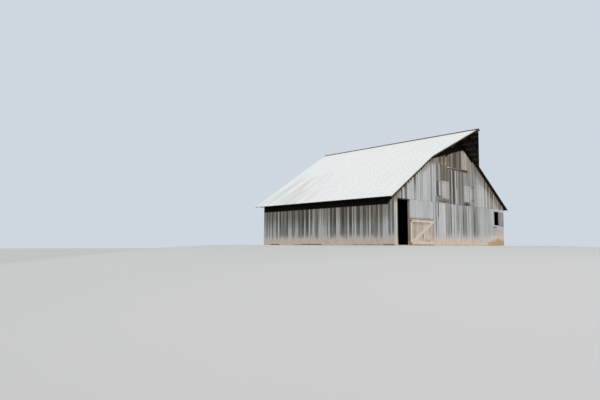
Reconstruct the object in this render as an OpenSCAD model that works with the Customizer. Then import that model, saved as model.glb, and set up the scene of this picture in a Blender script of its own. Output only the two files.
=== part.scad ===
// A gable barn of vertical boards with a metal roof that runs out into a pointed hay hood.
// Lengths are in millimetres. X runs along the front wall, Y from the front to the back, Z up.
// The pieces are drawn with the ridge at X = 0 and the front face of the wall at Y = 0,
// and place() then moves the middle of the outline onto the origin.

/* [Walls] */
// Distance from the ridge line to the outer face of the left wall
wall_left = 6030; // [5800:10:6200]
// Distance from the ridge line to the outer face of the right wall
wall_right = 6140; // [5800:10:6200]
// Length of the building from the front face to the back face
wall_len = 9920; // [8000:10:12000]
// Thickness of the wall boards
board_t = 25; // [18:1:35]
// Height of the lower course of boards on the two gable walls
course_h = 2330; // [2100:5:2600]

/* [Roof] */
// Slope of both sides of the roof in degrees
roof_pitch = 32.7; // [28:0.1:38]
// Height of the roof metal above the lower course, over the wider side of the building
roof_up = 248; // [200:2:400]
// How far the roof reaches past the left wall
overhang_left = 420; // [200:10:500]
// How far the roof reaches past the right wall
overhang_right = 360; // [200:10:500]
// How far the roof reaches past the front wall beside the hood
overhang_front = 150; // [80:5:300]
// How far the roof reaches past the back wall
overhang_back = 320; // [80:5:400]
// Half the width of the hood where it leaves the front rake
hood_half_w = 2650; // [2000:10:3400]
// How far the tip of the hood reaches in front of the rake
hood_len = 1310; // [900:5:1800]
// Thickness of the roof metal with its ribs
sheet_t = 4; // [3:0.5:8]
// Thickness of the ridge cap
cap_t = 4; // [3:0.5:8]
// Width of each leg of the ridge cap, measured level
cap_leg = 160; // [80:5:200]
// How far the ridge cap reaches past the metal at both ends
cap_end = 15; // [5:1:40]
// Thickness of the boards along the rakes and the hood edges
edge_t = 28; // [20:1:40]
// Depth of the boards along the rakes and the hood edges
edge_d = 50; // [40:5:160]
// Clearance between the layers of the roof
seat_gap = 0.1; // [0.05:0.05:0.4]
// Gap of the mitres at the ridge, between the edge boards and between the legs of the cap
mitre_gap = 1; // [0.5:0.5:3]

/* [Roof frame] */
// Thickness of the roof laths
lath_t = 25; // [20:1:40]
// Width of the roof laths
lath_w = 100; // [70:5:150]
// Number of laths on each slope
lath_count = 17; // [10:1:20]
// Thickness of the rafters
rafter_t = 50; // [40:1:80]
// Depth of the rafters
rafter_d = 150; // [120:5:180]
// Number of rafters on each slope
rafter_count = 9; // [5:1:13]
// Distance from the eave back to the ends of the rafters
tail_in = 60; // [30:5:120]
// Depth of the notch where a rafter sits on its plate
rafter_seat = 40; // [20:1:60]
// Thickness of the ridge beam
ridge_t = 50; // [40:1:80]
// Depth of the ridge beam
ridge_d = 200; // [150:5:260]

/* [Wall frame] */
// Thickness of the girts behind the boards
girt_t = 50; // [40:1:60]
// Height of the girts
girt_h = 100; // [80:5:120]
// Height of the lower edge of the bottom girts
girt_low = 160; // [150:5:300]
// Gap between the window frame and the middle girts
mid_girt_drop = 75; // [20:5:200]
// Gap between the left hay shutter and the lower gable girts
gable_girt_gap = 90; // [30:10:200]
// Distance between the lower and the upper gable girts
gable_girt_step = 1100; // [800:10:1300]
// Side of the square posts
post_w = 150; // [120:5:180]
// Height of the sill beams
sill_h = 150; // [100:5:150]
// Depth of the top plates and tie beams
plate_d = 150; // [120:5:180]
// Number of bays between the posts of the side walls
bay_count = 4; // [3:1:6]

/* [Doorways] */
// Distance from the left corner to the open doorway
doorway_in = 295; // [260:5:400]
// Width of the open doorway
doorway_w = 870; // [700:10:1000]
// Width of the post between the two doorways
door_post_w = 240; // [160:5:260]
// Distance from the open doorway back to the post behind its board
post_set = 60; // [40:5:100]
// Width of the board on the post between the two doorways
post_board_w = 120; // [80:5:160]
// How far the boards over the half door reach past its doorway, onto the post
post_reveal = 60; // [40:5:80]
// Width of the doorway of the half door
half_open_w = 2155; // [1600:5:2400]
// Height of the doorway of the half door
half_open_h = 1350; // [1250:5:1500]
// Height of the threshold planks
threshold_h = 25; // [20:1:60]
// Depth of the threshold planks
threshold_d = 140; // [100:5:180]

/* [Half door] */
// Gap at the two sides of the half door
leaf_gap = 12; // [8:1:20]
// Gap above the half door
leaf_top_gap = 15; // [8:1:30]
// Gap between the half door and its threshold
leaf_low_gap = 12; // [10:1:40]
// Width of the two rails
rail_w = 150; // [100:5:180]
// Thickness of the rails and the brace
rail_t = 22; // [18:1:30]
// Width of the diagonal brace
brace_w = 160; // [90:5:200]
// Distance from the left side of the doorway to the middle of the missing strip
slit_in = 1125; // [900:5:1500]
// Width of the missing strip
slit_w = 36; // [20:1:60]
// Height of the missing strip
slit_h = 460; // [200:10:600]
// Height of the lower end of the missing strip above the bottom rail
slit_up = 60; // [30:5:200]

/* [Door hinges] */
// Radius of the hinge pins
pin_r = 6; // [5:0.5:8]
// Clearance between a pin and its eye
pin_gap = 0.08; // [0.05:0.01:0.1]
// Thickness of the straps
strap_t = 6; // [4:1:8]
// Width of the straps
strap_w = 40; // [30:1:60]
// Length of the straps from the pin
strap_len = 100; // [80:10:900]
// Wall of the eye round the pin
eye_wall = 6; // [4:1:8]
// Distance from the pin to the doorway's side
pin_in = 12; // [10:1:20]
// Height of the pintle block
pintle_h = 24; // [16:1:40]
// Width of the pintle block that is driven into the post
pintle_w = 22; // [16:1:24]
// Play between an eye and its pintle block
eye_play = 0.3; // [0.2:0.1:1]

/* [Hay shutters] */
// Width of the hay shutters
hay_w = 840; // [700:10:900]
// Height of the hay shutters
hay_h = 960; // [800:10:1000]
// Place of the left edge of the left shutter from the ridge line
hay_left_x = -1640; // [-1800:10:-1400]
// Distance from the lower course up to the left shutter
hay_left_up = 270; // [240:5:400]
// Place of the left edge of the right shutter from the ridge line
hay_right_x = 960; // [700:10:1200]
// Distance from the lower course up to the right shutter
hay_right_up = 220; // [190:5:400]
// How far the shutters lap over the edges of their openings
hay_lap = 30; // [20:1:60]
// Thickness of the shutters
shutter_t = 25; // [20:1:35]
// Height of the straps of the shutters
hay_strap_h = 40; // [30:1:60]
// Length of the straps on the shutters
hay_strap_len = 260; // [150:10:400]
// Distance from the hinges to the upper and lower edges of a shutter
hinge_in = 80; // [40:10:160]
// Length of the hinge leaves on the wall beside the left shutter
leaf_left_len = 45; // [20:5:45]
// Length of the hinge leaves on the wall beside the right shutter
leaf_right_len = 220; // [60:10:300]
// Thickness of the straps and hinge leaves of the shutters
hinge_leaf_t = 3; // [2:1:5]
// Width of the batten beside the left shutter
batten_w = 130; // [90:5:160]
// Distance from the left shutter to the batten
batten_gap = 75; // [65:5:120]
// Thickness of the batten
batten_t = 20; // [15:1:30]
// Length of the drip board above the shutters
drip_len = 2330; // [1500:10:3200]
// Place of the left end of the drip board from the ridge line
drip_x = -930; // [-1700:10:-600]
// Distance from the left shutter up to the drip board
drip_up = 790; // [250:10:900]
// Height of the drip board
drip_h = 60; // [40:1:100]
// How far the drip board and the cleats stand out from the wall
drip_t = 40; // [25:1:60]
// Length of the cleat under the left shutter
cleat_left_len = 1160; // [700:10:1300]
// Length of the cleat under the right shutter
cleat_right_len = 605; // [400:10:900]
// Height of the cleats
cleat_h = 65; // [40:1:90]
// Gap between a cleat and the shutter above it
cleat_gap = 90; // [40:5:120]

/* [Window] */
// Distance from the right corner to the window
window_in = 670; // [640:5:900]
// Width of the window
window_w = 670; // [500:10:680]
// Distance from the top of the window up to the top of the lower course
window_head = 160; // [120:5:300]
// Height of the window
window_h = 880; // [600:5:920]
// Width of the bars of the frame behind the window
window_bar = 50; // [30:1:55]
// Gap between the window and its open shutter
shutter_gap = 45; // [40:1:80]
// Gap between the open shutter and the right corner
shutter_corner_gap = 25; // [10:1:60]
// Length of the cleat below the window
window_cleat_len = 560; // [300:10:700]
// How far the cleat lies below the window
window_cleat_drop = 75; // [60:5:220]

/* [Hidden] */
$fn = 48;

// Colours, as they show
weathered = [0.66, 0.66, 0.64];
shaded_wood = [0.36, 0.31, 0.26];
rough_timber = [0.42, 0.37, 0.31];
metal_white = [0.93, 0.94, 0.94];
cap_grey = [0.36, 0.34, 0.32];
pale_wood = [0.78, 0.79, 0.80];
tan_wood = [0.74, 0.66, 0.56];
jamb_brown = [0.58, 0.51, 0.34];
iron = [0.24, 0.20, 0.18];

// Slope of the roof, and the upright depth of each layer in it
rise = tan(roof_pitch);
lean = cos(roof_pitch);
sheet_v = sheet_t / lean;
cap_v = cap_t / lean;
lath_v = lath_t / lean;
rafter_v = rafter_d / lean;
edge_v = edge_d / lean;
lath_down = sheet_v + seat_gap;
rafter_down = lath_down + lath_v + seat_gap;
lath_level = lath_w * lean;

// Outline of the roof on plan
eave_left = wall_left + overhang_left;
eave_right = wall_right + overhang_right;
rake_y = -overhang_front;
tip_y = rake_y - hood_len;
back_y = wall_len + overhang_back;
ridge_z = course_h + roof_up + max(wall_left, wall_right) * rise;

// Middle of the outline, which place() puts on the origin
mid_x = (eave_right - eave_left) / 2;
mid_y = (tip_y - cap_end + back_y + cap_end) / 2;

// Heights of the faces of the roof's layers over a point x from the ridge line
function sheet_top(x) = ridge_z - abs(x) * rise;
function lath_under(x) = sheet_top(x) - rafter_down;
function rafter_under(x) = lath_under(x) - rafter_v - seat_gap;

// Layers of the walls, counted inwards from the outer face
girt_in = board_t;
post_in = board_t + girt_t;
frame_in = post_in + post_w;

// Places along the front wall
left_x = -wall_left;
right_x = wall_right;
door_x0 = left_x + doorway_in;
door_x1 = door_x0 + doorway_w;
half_x0 = door_x1 + door_post_w;
half_x1 = half_x0 + half_open_w;
half_post_x1 = half_x1 + post_w;
window_x1 = right_x - window_in;
window_x0 = window_x1 - window_w;
window_z = course_h - window_head - window_h;

// Heights in the gable
hay_left_z = course_h + hay_left_up;
hay_right_z = course_h + hay_right_up;
drip_z = hay_left_z + hay_h + drip_up;
gable_girt_1 = hay_left_z + hay_h + gable_girt_gap;
gable_girt_2 = gable_girt_1 + gable_girt_step;

// Heights of the frame
plate_left_z = rafter_under(wall_left - post_in) + rafter_seat;
plate_right_z = rafter_under(wall_right - post_in) + rafter_seat;
tie_top = min(plate_left_z, plate_right_z);
tie_low = tie_top - plate_d;
course_girt_z = course_h - girt_h / 2;
door_head = min(tie_low, course_girt_z);
girt_mid = window_z - window_bar - mid_girt_drop - girt_h;

// Rows of posts, rafters and laths
bay = (wall_len - 2 * post_in - post_w) / bay_count;
rafter_step = (wall_len - 2 * girt_in - rafter_t) / (rafter_count - 1);
lath_first = ridge_t / 2 + 5;
lath_edge = 12;

// Boards along the edge of the hood on plan
hood_slope = hood_len / hood_half_w;
hood_board_y = edge_t * sqrt(1 + hood_slope * hood_slope);
hood_inner_x = hood_half_w - (hood_board_y - edge_t) / hood_slope;
hood_rafter_y = rake_y - hood_len * 0.42;

// Half door
leaf_x0 = half_x0 + leaf_gap;
leaf_x1 = half_x1 - leaf_gap;
leaf_z0 = threshold_h + leaf_low_gap;
leaf_z1 = half_open_h - leaf_top_gap;
pin_x = half_x0 - pin_in;
pin_y = -rail_t - strap_t / 2;
strap_z = [leaf_z0 + (rail_w - strap_w) / 2, leaf_z1 - (rail_w + strap_w) / 2];
eye_r = pin_r + pin_gap + eye_wall;

module place() {
  translate([-mid_x, -mid_y, 0]) children();
}

// A box between two corners
module block(low, high) {
  translate(low) cube(high - low);
}

// An outline in X and Z carried from y0 to y1
module along_y(y0, y1) {
  translate([0, y1, 0]) rotate([90, 0, 0]) linear_extrude(y1 - y0) children();
}

// A layer of one roof slope, from x0 to x1 off the ridge line and some way under the metal's top
module slope_layer(side, x0, x1, under, depth, y0, y1) {
  along_y(y0, y1)
    polygon([
      [side * x0, sheet_top(x0) - under],
      [side * x1, sheet_top(x1) - under],
      [side * x1, sheet_top(x1) - under - depth],
      [side * x0, sheet_top(x0) - under - depth]
    ]);
}

// The plan of one slope, out to the metal's edge
module slope_plan(side, eave) {
  linear_extrude(ridge_z + cap_v)
    polygon([
      [0, tip_y], [side * hood_half_w, rake_y], [side * eave, rake_y],
      [side * eave, back_y], [0, back_y]
    ]);
}

// The plan of one slope inside the boards along its edges
module inner_plan(side, eave) {
  linear_extrude(ridge_z + cap_v)
    polygon([
      [0, tip_y + hood_board_y], [side * hood_inner_x, rake_y + edge_t],
      [side * eave, rake_y + edge_t], [side * eave, back_y - edge_t], [0, back_y - edge_t]
    ]);
}

// The outline of a gable from one height up to the underside of the laths
module gable_outline(low) {
  polygon([
    [left_x, low], [right_x, low], [right_x, lath_under(right_x)],
    [0, lath_under(0)], [left_x, lath_under(left_x)]
  ]);
}

// The notch in the top of a gable that the ridge beam lies in
module ridge_notch(y0, y1) {
  block(
    [-ridge_t / 2, y0, lath_under(ridge_t / 2) - ridge_d],
    [ridge_t / 2, y1, ridge_z]
  );
}

// The room under the rafters, seen from the front
module under_rafters(y0, y1) {
  along_y(y0, y1)
    polygon([
      [left_x, 0], [right_x, 0], [right_x, rafter_under(right_x)],
      [0, rafter_under(0)], [left_x, rafter_under(left_x)]
    ]);
}

// Front wall
module front_corner_panel() {
  place() color(pale_wood) block([left_x, 0, 0], [door_x0, board_t, course_h]);
}

module over_door_panel() {
  place() color(weathered)
    block([half_x0 - post_reveal, 0, half_open_h], [half_x1, board_t, course_h]);
}

module front_right_panel() {
  place() color(weathered)
    difference() {
      block([half_x1, 0, 0], [right_x, board_t, course_h]);
      block([window_x0, -board_t, window_z], [window_x1, 2 * board_t, window_z + window_h]);
    }
}

module hay_opening(x, z) {
  block(
    [x + hay_lap, -board_t, z + hay_lap],
    [x + hay_w - hay_lap, 2 * board_t, z + hay_h - hay_lap]
  );
}

module front_gable() {
  place() color(weathered)
    difference() {
      along_y(0, board_t) gable_outline(course_h);
      ridge_notch(-board_t, 2 * board_t);
      hay_opening(hay_left_x, hay_left_z);
      hay_opening(hay_right_x, hay_right_z);
    }
}

// Other walls
module left_wall() {
  place() color(weathered)
    block([left_x, board_t, 0], [left_x + board_t, wall_len - board_t, rafter_under(wall_left)]);
}

module right_wall() {
  place() color(weathered)
    block([right_x - board_t, board_t, 0], [right_x, wall_len - board_t, rafter_under(wall_right)]);
}

module back_wall() {
  place() color(weathered)
    difference() {
      along_y(wall_len - board_t, wall_len) gable_outline(0);
      ridge_notch(wall_len - 2 * board_t, wall_len + board_t);
    }
}

// Sills and posts
module ground_sills() {
  place() color(rough_timber) {
    block([left_x + post_in, post_in, 0], [left_x + frame_in, wall_len - post_in, sill_h]);
    block([right_x - frame_in, post_in, 0], [right_x - post_in, wall_len - post_in, sill_h]);
    block([half_post_x1, post_in, 0], [right_x - frame_in, frame_in, sill_h]);
    block(
      [left_x + frame_in, wall_len - frame_in, 0],
      [right_x - frame_in, wall_len - post_in, sill_h]
    );
  }
}

module side_post(x, y, top) {
  block([x, y, sill_h], [x + post_w, y + post_w, top - plate_d]);
}

// The corner posts and the posts between them
module side_posts() {
  place() color(rough_timber)
    for (i = [0:bay_count]) {
      side_post(left_x + post_in, post_in + i * bay, plate_left_z);
      side_post(right_x - frame_in, post_in + i * bay, plate_right_z);
    }
}

// Posts of the two gable walls, under the tie beams
module end_posts() {
  front_first = half_post_x1;
  front_span = right_x - frame_in - front_first;
  back_first = left_x + frame_in;
  back_span = right_x - frame_in - back_first;
  place() color(rough_timber) {
    for (i = [1:2])
      translate([front_first + front_span * i / 3 - post_w / 2, post_in, sill_h])
        cube([post_w, post_w, tie_low - sill_h]);
    for (i = [1:3])
      translate([back_first + back_span * i / 4 - post_w / 2, wall_len - frame_in, sill_h])
        cube([post_w, post_w, tie_low - sill_h]);
  }
}

// Posts in the gables, from the tie beams to the laths, and to the ridge beam in the middle
module gable_posts() {
  place() color(rough_timber)
    for (y = [post_in, wall_len - frame_in]) {
      block([-post_w / 2, y, tie_top], [post_w / 2, y + post_w, lath_under(ridge_t / 2) - ridge_d]);
      for (side = [-1, 1])
        intersection() {
          translate([side * hood_half_w - post_w / 2, y, tie_top]) cube([post_w, post_w, ridge_z]);
          along_y(y, y + post_w) gable_outline(0);
        }
    }
}

// Doorways
module doorway_jamb() {
  place() color(rough_timber)
    block([left_x + frame_in, girt_in, 0], [door_x0, frame_in, door_head]);
}

module door_post() {
  place() color(rough_timber)
    block([door_x1 + post_set, girt_in, 0], [half_x0, post_in, course_girt_z]);
}

module half_door_post() {
  place() color(rough_timber)
    block([half_x1, girt_in, 0], [half_post_x1, frame_in, door_head]);
}

module door_post_board() {
  place() color(jamb_brown)
    block([door_x1, 0, 0], [door_x1 + post_board_w, board_t, course_h]);
}

module thresholds() {
  place() color(shaded_wood) {
    block([door_x0, board_t, 0], [door_x1, board_t + threshold_d, threshold_h]);
    block([half_x0, board_t, 0], [half_x1, board_t + threshold_d, threshold_h]);
  }
}

// Plates and tie beams
module left_plate_bar() {
  block(
    [left_x + post_in, post_in, plate_left_z - plate_d],
    [left_x + frame_in, wall_len - post_in, plate_left_z]
  );
}

module right_plate_bar() {
  block(
    [right_x - frame_in, post_in, plate_right_z - plate_d],
    [right_x - post_in, wall_len - post_in, plate_right_z]
  );
}

module top_plates() {
  place() color(rough_timber) {
    left_plate_bar();
    right_plate_bar();
  }
}

module tie_beams() {
  place() color(rough_timber)
    for (i = [0:bay_count])
      translate([left_x + frame_in, post_in + i * bay, tie_low])
        cube([right_x - left_x - 2 * frame_in, post_w, plate_d]);
}

// Girts
module side_girt(x, z) {
  block([x, post_in, z], [x + girt_t, wall_len - post_in, z + girt_h]);
}

module side_girts() {
  place() color(rough_timber)
    for (z = [girt_low, girt_mid, course_girt_z - girt_h]) {
      side_girt(left_x + girt_in, z);
      side_girt(right_x - post_in, z);
    }
}

module end_girt(y, x0, x1, z) {
  block([x0, y, z], [x1, y + girt_t, z + girt_h]);
}

// The girts of a gable, cut to the underside of the rafters
module gable_girts(y) {
  intersection() {
    for (z = [course_girt_z, gable_girt_1, gable_girt_2])
      end_girt(y, left_x + girt_in, right_x - girt_in, z);
    under_rafters(y, y + girt_t);
  }
}

module front_girts() {
  place() color(rough_timber) {
    gable_girts(girt_in);
    for (z = [girt_low, girt_mid]) {
      end_girt(girt_in, left_x + girt_in, left_x + frame_in, z);
      end_girt(girt_in, half_post_x1, right_x - girt_in, z);
    }
    end_girt(girt_in, half_x0, half_x1, half_open_h);
  }
}

module back_girts() {
  y = wall_len - girt_in - girt_t;
  place() color(rough_timber) {
    gable_girts(y);
    for (z = [girt_low, girt_mid])
      end_girt(y, left_x + girt_in, right_x - girt_in, z);
  }
}

module window_frame() {
  place() color(rough_timber)
    difference() {
      block(
        [window_x0 - window_bar, girt_in, window_z - window_bar],
        [window_x1 + window_bar, girt_in + girt_t, window_z + window_h + window_bar]
      );
      block(
        [window_x0, girt_in - girt_t, window_z],
        [window_x1, girt_in + 2 * girt_t, window_z + window_h]
      );
    }
}

// Roof frame
module ridge_beam() {
  place() color(rough_timber)
    intersection() {
      block(
        [-ridge_t / 2, tip_y, lath_under(ridge_t / 2) - ridge_d],
        [ridge_t / 2, back_y, lath_under(ridge_t / 2)]
      );
      union() {
        inner_plan(-1, eave_left);
        inner_plan(1, eave_right);
      }
    }
}

// The room under the level cut of the rafters' tails
module under_tails(side, wall, eave) {
  along_y(0, wall_len)
    polygon([
      [side * wall, 0], [side * eave, 0],
      [side * eave, lath_under(eave)], [side * wall, lath_under(eave)]
    ]);
}

module rafters(side, wall, eave) {
  difference() {
    for (i = [0:rafter_count - 1])
      slope_layer(
        side, ridge_t / 2, eave - tail_in, rafter_down, rafter_v,
        girt_in + i * rafter_step, girt_in + i * rafter_step + rafter_t
      );
    under_tails(side, wall, eave);
    children();
  }
}

module left_rafters() {
  place() color(rough_timber) rafters(-1, wall_left, eave_left) left_plate_bar();
}

module right_rafters() {
  place() color(rough_timber) rafters(1, wall_right, eave_right) right_plate_bar();
}

// One pair of short rafters that carries the laths of the hood
module hood_rafters() {
  place() color(rough_timber)
    for (side = [-1, 1])
      intersection() {
        slope_layer(
          side, ridge_t / 2, hood_half_w, rafter_down, rafter_v,
          hood_rafter_y, hood_rafter_y + rafter_t
        );
        inner_plan(side, hood_half_w);
      }
}

module laths(side, eave) {
  step = (eave - lath_edge - lath_level - lath_first) / (lath_count - 1);
  intersection() {
    for (i = [0:lath_count - 1])
      slope_layer(
        side, lath_first + i * step, lath_first + i * step + lath_level,
        lath_down, lath_v, tip_y, back_y
      );
    inner_plan(side, eave);
  }
}

module left_laths() {
  place() color(shaded_wood) laths(-1, eave_left);
}

module right_laths() {
  place() color(shaded_wood) laths(1, eave_right);
}

// Roof metal
module roof_slope(side, eave) {
  intersection() {
    slope_layer(side, 0, eave, 0, sheet_v, tip_y, back_y);
    slope_plan(side, eave);
  }
}

module roof_left() {
  place() color(metal_white) roof_slope(-1, eave_left);
}

module roof_right() {
  place() color(metal_white) roof_slope(1, eave_right);
}

// The folded ridge cap, as two legs that meet at the ridge
module ridge_cap() {
  place() color(cap_grey)
    for (side = [-1, 1])
      slope_layer(
        side, mitre_gap / 2, cap_leg, -cap_v - seat_gap, cap_v,
        tip_y - cap_end, back_y + cap_end
      );
}

// Boards under the edges of the metal
module front_rake_boards() {
  place() color(shaded_wood) {
    slope_layer(-1, hood_half_w, eave_left, lath_down, edge_v, rake_y, rake_y + edge_t);
    slope_layer(1, hood_half_w, eave_right, lath_down, edge_v, rake_y, rake_y + edge_t);
  }
}

module back_rake_boards() {
  place() color(shaded_wood) {
    slope_layer(-1, mitre_gap / 2, eave_left, lath_down, edge_v, back_y - edge_t, back_y);
    slope_layer(1, mitre_gap / 2, eave_right, lath_down, edge_v, back_y - edge_t, back_y);
  }
}

module hood_edge_boards() {
  place() color(shaded_wood)
    for (side = [-1, 1])
      intersection() {
        slope_layer(side, mitre_gap / 2, hood_half_w, lath_down, edge_v, tip_y, 0);
        linear_extrude(ridge_z)
          polygon([
            [0, tip_y], [side * hood_half_w, rake_y], [side * hood_half_w, rake_y + edge_t],
            [side * hood_inner_x, rake_y + edge_t], [0, tip_y + hood_board_y]
          ]);
      }
}

// Half door
module half_door() {
  slit_x = half_x0 + slit_in;
  slit_z = leaf_z0 + rail_w + slit_up;
  place() color(tan_wood)
    difference() {
      block([leaf_x0, 0, leaf_z0], [leaf_x1, board_t, leaf_z1]);
      block(
        [slit_x - slit_w / 2, -board_t, slit_z],
        [slit_x + slit_w / 2, 2 * board_t, slit_z + slit_h]
      );
    }
}

module half_door_rails() {
  place() color(tan_wood) {
    block([leaf_x0, -rail_t, leaf_z0], [leaf_x1, 0, leaf_z0 + rail_w]);
    block([leaf_x0, -rail_t, leaf_z1 - rail_w], [leaf_x1, 0, leaf_z1]);
  }
}

// The brace rises from the hinge side, with its ends cut along the rails
module half_door_brace() {
  low = leaf_z0 + rail_w;
  high = leaf_z1 - rail_w;
  run = leaf_x1 - leaf_x0;
  tall = high - low;
  foot = brace_w * (tall * sqrt(tall * tall + run * run - brace_w * brace_w) - brace_w * run)
    / (tall * tall - brace_w * brace_w);
  place() color(pale_wood)
    along_y(-rail_t, 0)
      polygon([
        [leaf_x0, low], [leaf_x0 + foot, low], [leaf_x1, high], [leaf_x1 - foot, high]
      ]);
}

module half_door_straps() {
  place() color(iron)
    for (z = strap_z)
      difference() {
        union() {
          block([pin_x, -rail_t - strap_t, z], [pin_x + strap_len, -rail_t, z + strap_w]);
          translate([pin_x, pin_y, z]) cylinder(r = eye_r, h = strap_w);
        }
        translate([pin_x, pin_y, z - 1]) cylinder(r = pin_r + pin_gap, h = strap_w + 2);
      }
}

module door_pintles() {
  place() color(iron)
    for (z = strap_z) {
      top = z - eye_play;
      translate([pin_x, pin_y, top - pintle_h]) cylinder(r = pin_r, h = pintle_h + eye_play + strap_w);
      block(
        [pin_x + pin_r - pintle_w, pin_y - pin_r, top - pintle_h],
        [pin_x + pin_r, girt_in, top]
      );
    }
}

// Hay shutters
module hay_shutter_left() {
  place() color(pale_wood)
    block([hay_left_x, -shutter_t, hay_left_z], [hay_left_x + hay_w, 0, hay_left_z + hay_h]);
}

module hay_shutter_right() {
  place() color(pale_wood)
    block([hay_right_x, -shutter_t, hay_right_z], [hay_right_x + hay_w, 0, hay_right_z + hay_h]);
}

// A strap hinge: a strap on the shutter, a knuckle against the wall and a leaf on the wall
module strap_hinge(x, z, side, leaf_len) {
  face = shutter_t + hinge_leaf_t;
  knuckle_x = x + side * face / 2;
  wall_x = knuckle_x + side * leaf_len;
  block(
    [min(knuckle_x, x - side * hay_strap_len), -face, z],
    [max(knuckle_x, x - side * hay_strap_len), -shutter_t, z + hay_strap_h]
  );
  block(
    [min(knuckle_x, wall_x), -hinge_leaf_t, z],
    [max(knuckle_x, wall_x), 0, z + hay_strap_h]
  );
  translate([knuckle_x, -face / 2, z]) cylinder(r = face / 2, h = hay_strap_h);
}

// Two hinges on each hay shutter and on the window shutter
module shutter_hinges() {
  window_leaf = shutter_gap - shutter_t - 2 * hinge_leaf_t;
  place() color(iron)
    for (from_edge = [hinge_in, -hinge_in - hay_strap_h]) {
      hay_up = from_edge > 0 ? from_edge : hay_h + from_edge;
      window_up = from_edge > 0 ? from_edge : window_h + from_edge;
      strap_hinge(hay_left_x, hay_left_z + hay_up, -1, leaf_left_len);
      strap_hinge(hay_right_x + hay_w, hay_right_z + hay_up, 1, leaf_right_len);
      strap_hinge(window_x1 + shutter_gap, window_z - hay_lap + window_up, -1, window_leaf);
    }
}

// Batten, drip board and the cleats under the shutters
module hay_trim() {
  cleat_left_z = hay_left_z - cleat_gap - cleat_h;
  cleat_right_z = hay_right_z - cleat_gap - cleat_h;
  batten_x = hay_left_x - batten_gap - batten_w;
  place() color(shaded_wood) {
    block([drip_x, -drip_t, drip_z], [drip_x + drip_len, 0, drip_z + drip_h]);
    block(
      [hay_left_x + hay_w - cleat_left_len, -drip_t, cleat_left_z],
      [hay_left_x + hay_w, 0, cleat_left_z + cleat_h]
    );
    block(
      [hay_right_x, -drip_t, cleat_right_z],
      [hay_right_x + cleat_right_len, 0, cleat_right_z + cleat_h]
    );
    block(
      [batten_x, -batten_t, hay_left_z],
      [batten_x + batten_w, 0, drip_z]
    );
  }
}

// Window shutter, folded back flat on the wall
module window_shutter() {
  x0 = window_x1 + shutter_gap;
  place() color(weathered)
    block(
      [x0, -shutter_t, window_z - hay_lap],
      [right_x - shutter_corner_gap, 0, window_z + window_h - hay_lap]
    );
}

module window_cleat() {
  x0 = window_x0 - window_cleat_len / 2;
  z1 = window_z - window_cleat_drop;
  place() color(shaded_wood)
    block([x0, -drip_t, z1 - cleat_h], [x0 + window_cleat_len, 0, z1]);
}

front_corner_panel();
over_door_panel();
front_right_panel();
front_gable();
left_wall();
right_wall();
back_wall();
ground_sills();
side_posts();
end_posts();
gable_posts();
doorway_jamb();
door_post();
half_door_post();
door_post_board();
thresholds();
top_plates();
tie_beams();
side_girts();
front_girts();
back_girts();
window_frame();
ridge_beam();
left_rafters();
right_rafters();
hood_rafters();
left_laths();
right_laths();
roof_left();
roof_right();
ridge_cap();
front_rake_boards();
back_rake_boards();
hood_edge_boards();
half_door();
half_door_rails();
half_door_brace();
half_door_straps();
door_pintles();
hay_shutter_left();
hay_shutter_right();
shutter_hinges();
hay_trim();
window_shutter();
window_cleat();
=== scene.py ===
"""Looks of a weathered gable barn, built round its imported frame. Lengths are in metres."""
import math
import random

import bmesh
import bpy
from mathutils import Matrix, Vector


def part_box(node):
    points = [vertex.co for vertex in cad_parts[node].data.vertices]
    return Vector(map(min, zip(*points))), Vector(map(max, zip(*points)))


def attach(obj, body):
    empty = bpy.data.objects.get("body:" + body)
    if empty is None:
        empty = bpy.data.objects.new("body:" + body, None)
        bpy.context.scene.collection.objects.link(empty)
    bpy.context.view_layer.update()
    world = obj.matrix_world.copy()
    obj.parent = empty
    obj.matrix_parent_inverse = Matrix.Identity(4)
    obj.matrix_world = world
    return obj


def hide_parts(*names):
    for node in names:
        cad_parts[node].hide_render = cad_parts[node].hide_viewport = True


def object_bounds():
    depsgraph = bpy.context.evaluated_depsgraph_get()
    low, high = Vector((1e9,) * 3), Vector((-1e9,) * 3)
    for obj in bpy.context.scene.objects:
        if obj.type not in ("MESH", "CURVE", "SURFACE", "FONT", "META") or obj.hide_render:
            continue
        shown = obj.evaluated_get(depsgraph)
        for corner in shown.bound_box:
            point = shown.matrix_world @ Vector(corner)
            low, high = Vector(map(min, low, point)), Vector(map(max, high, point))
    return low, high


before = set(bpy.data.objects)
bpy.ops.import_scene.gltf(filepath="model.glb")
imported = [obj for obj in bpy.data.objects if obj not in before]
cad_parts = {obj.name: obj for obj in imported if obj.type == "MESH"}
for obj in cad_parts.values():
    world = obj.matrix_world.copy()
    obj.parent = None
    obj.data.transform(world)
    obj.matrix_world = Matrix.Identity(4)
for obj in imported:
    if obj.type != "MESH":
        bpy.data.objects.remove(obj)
CAD_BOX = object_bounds()

# Main faces of the building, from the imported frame
GABLE_LOW, GABLE_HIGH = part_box("front_gable")
ROOF_LOW, ROOF_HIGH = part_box("roof_left")
BEAM_LOW, BEAM_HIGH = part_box("ridge_beam")
FRONT_Y = GABLE_LOW.y
BACK_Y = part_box("back_wall")[1].y
LEFT_X = GABLE_LOW.x
RIGHT_X = GABLE_HIGH.x
COURSE_Z = GABLE_LOW.z
BOARD_T = GABLE_HIGH.y - FRONT_Y
RIDGE_X = ROOF_HIGH.x
RIDGE_Z = ROOF_HIGH.z
ROOF_FRONT_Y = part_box("front_rake_boards")[0].y
ROOF_BACK_Y = ROOF_HIGH.y
TIP_Y = ROOF_LOW.y
EAVE = {-1: RIDGE_X - ROOF_LOW.x, 1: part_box("roof_right")[1].x - RIDGE_X}
HOOD_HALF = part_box("hood_edge_boards")[1].x - RIDGE_X
RISE = math.tan(math.radians(32.7))
PITCH = math.atan(RISE)
NOTCH_HALF = (BEAM_HIGH.x - BEAM_LOW.x) / 2
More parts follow.
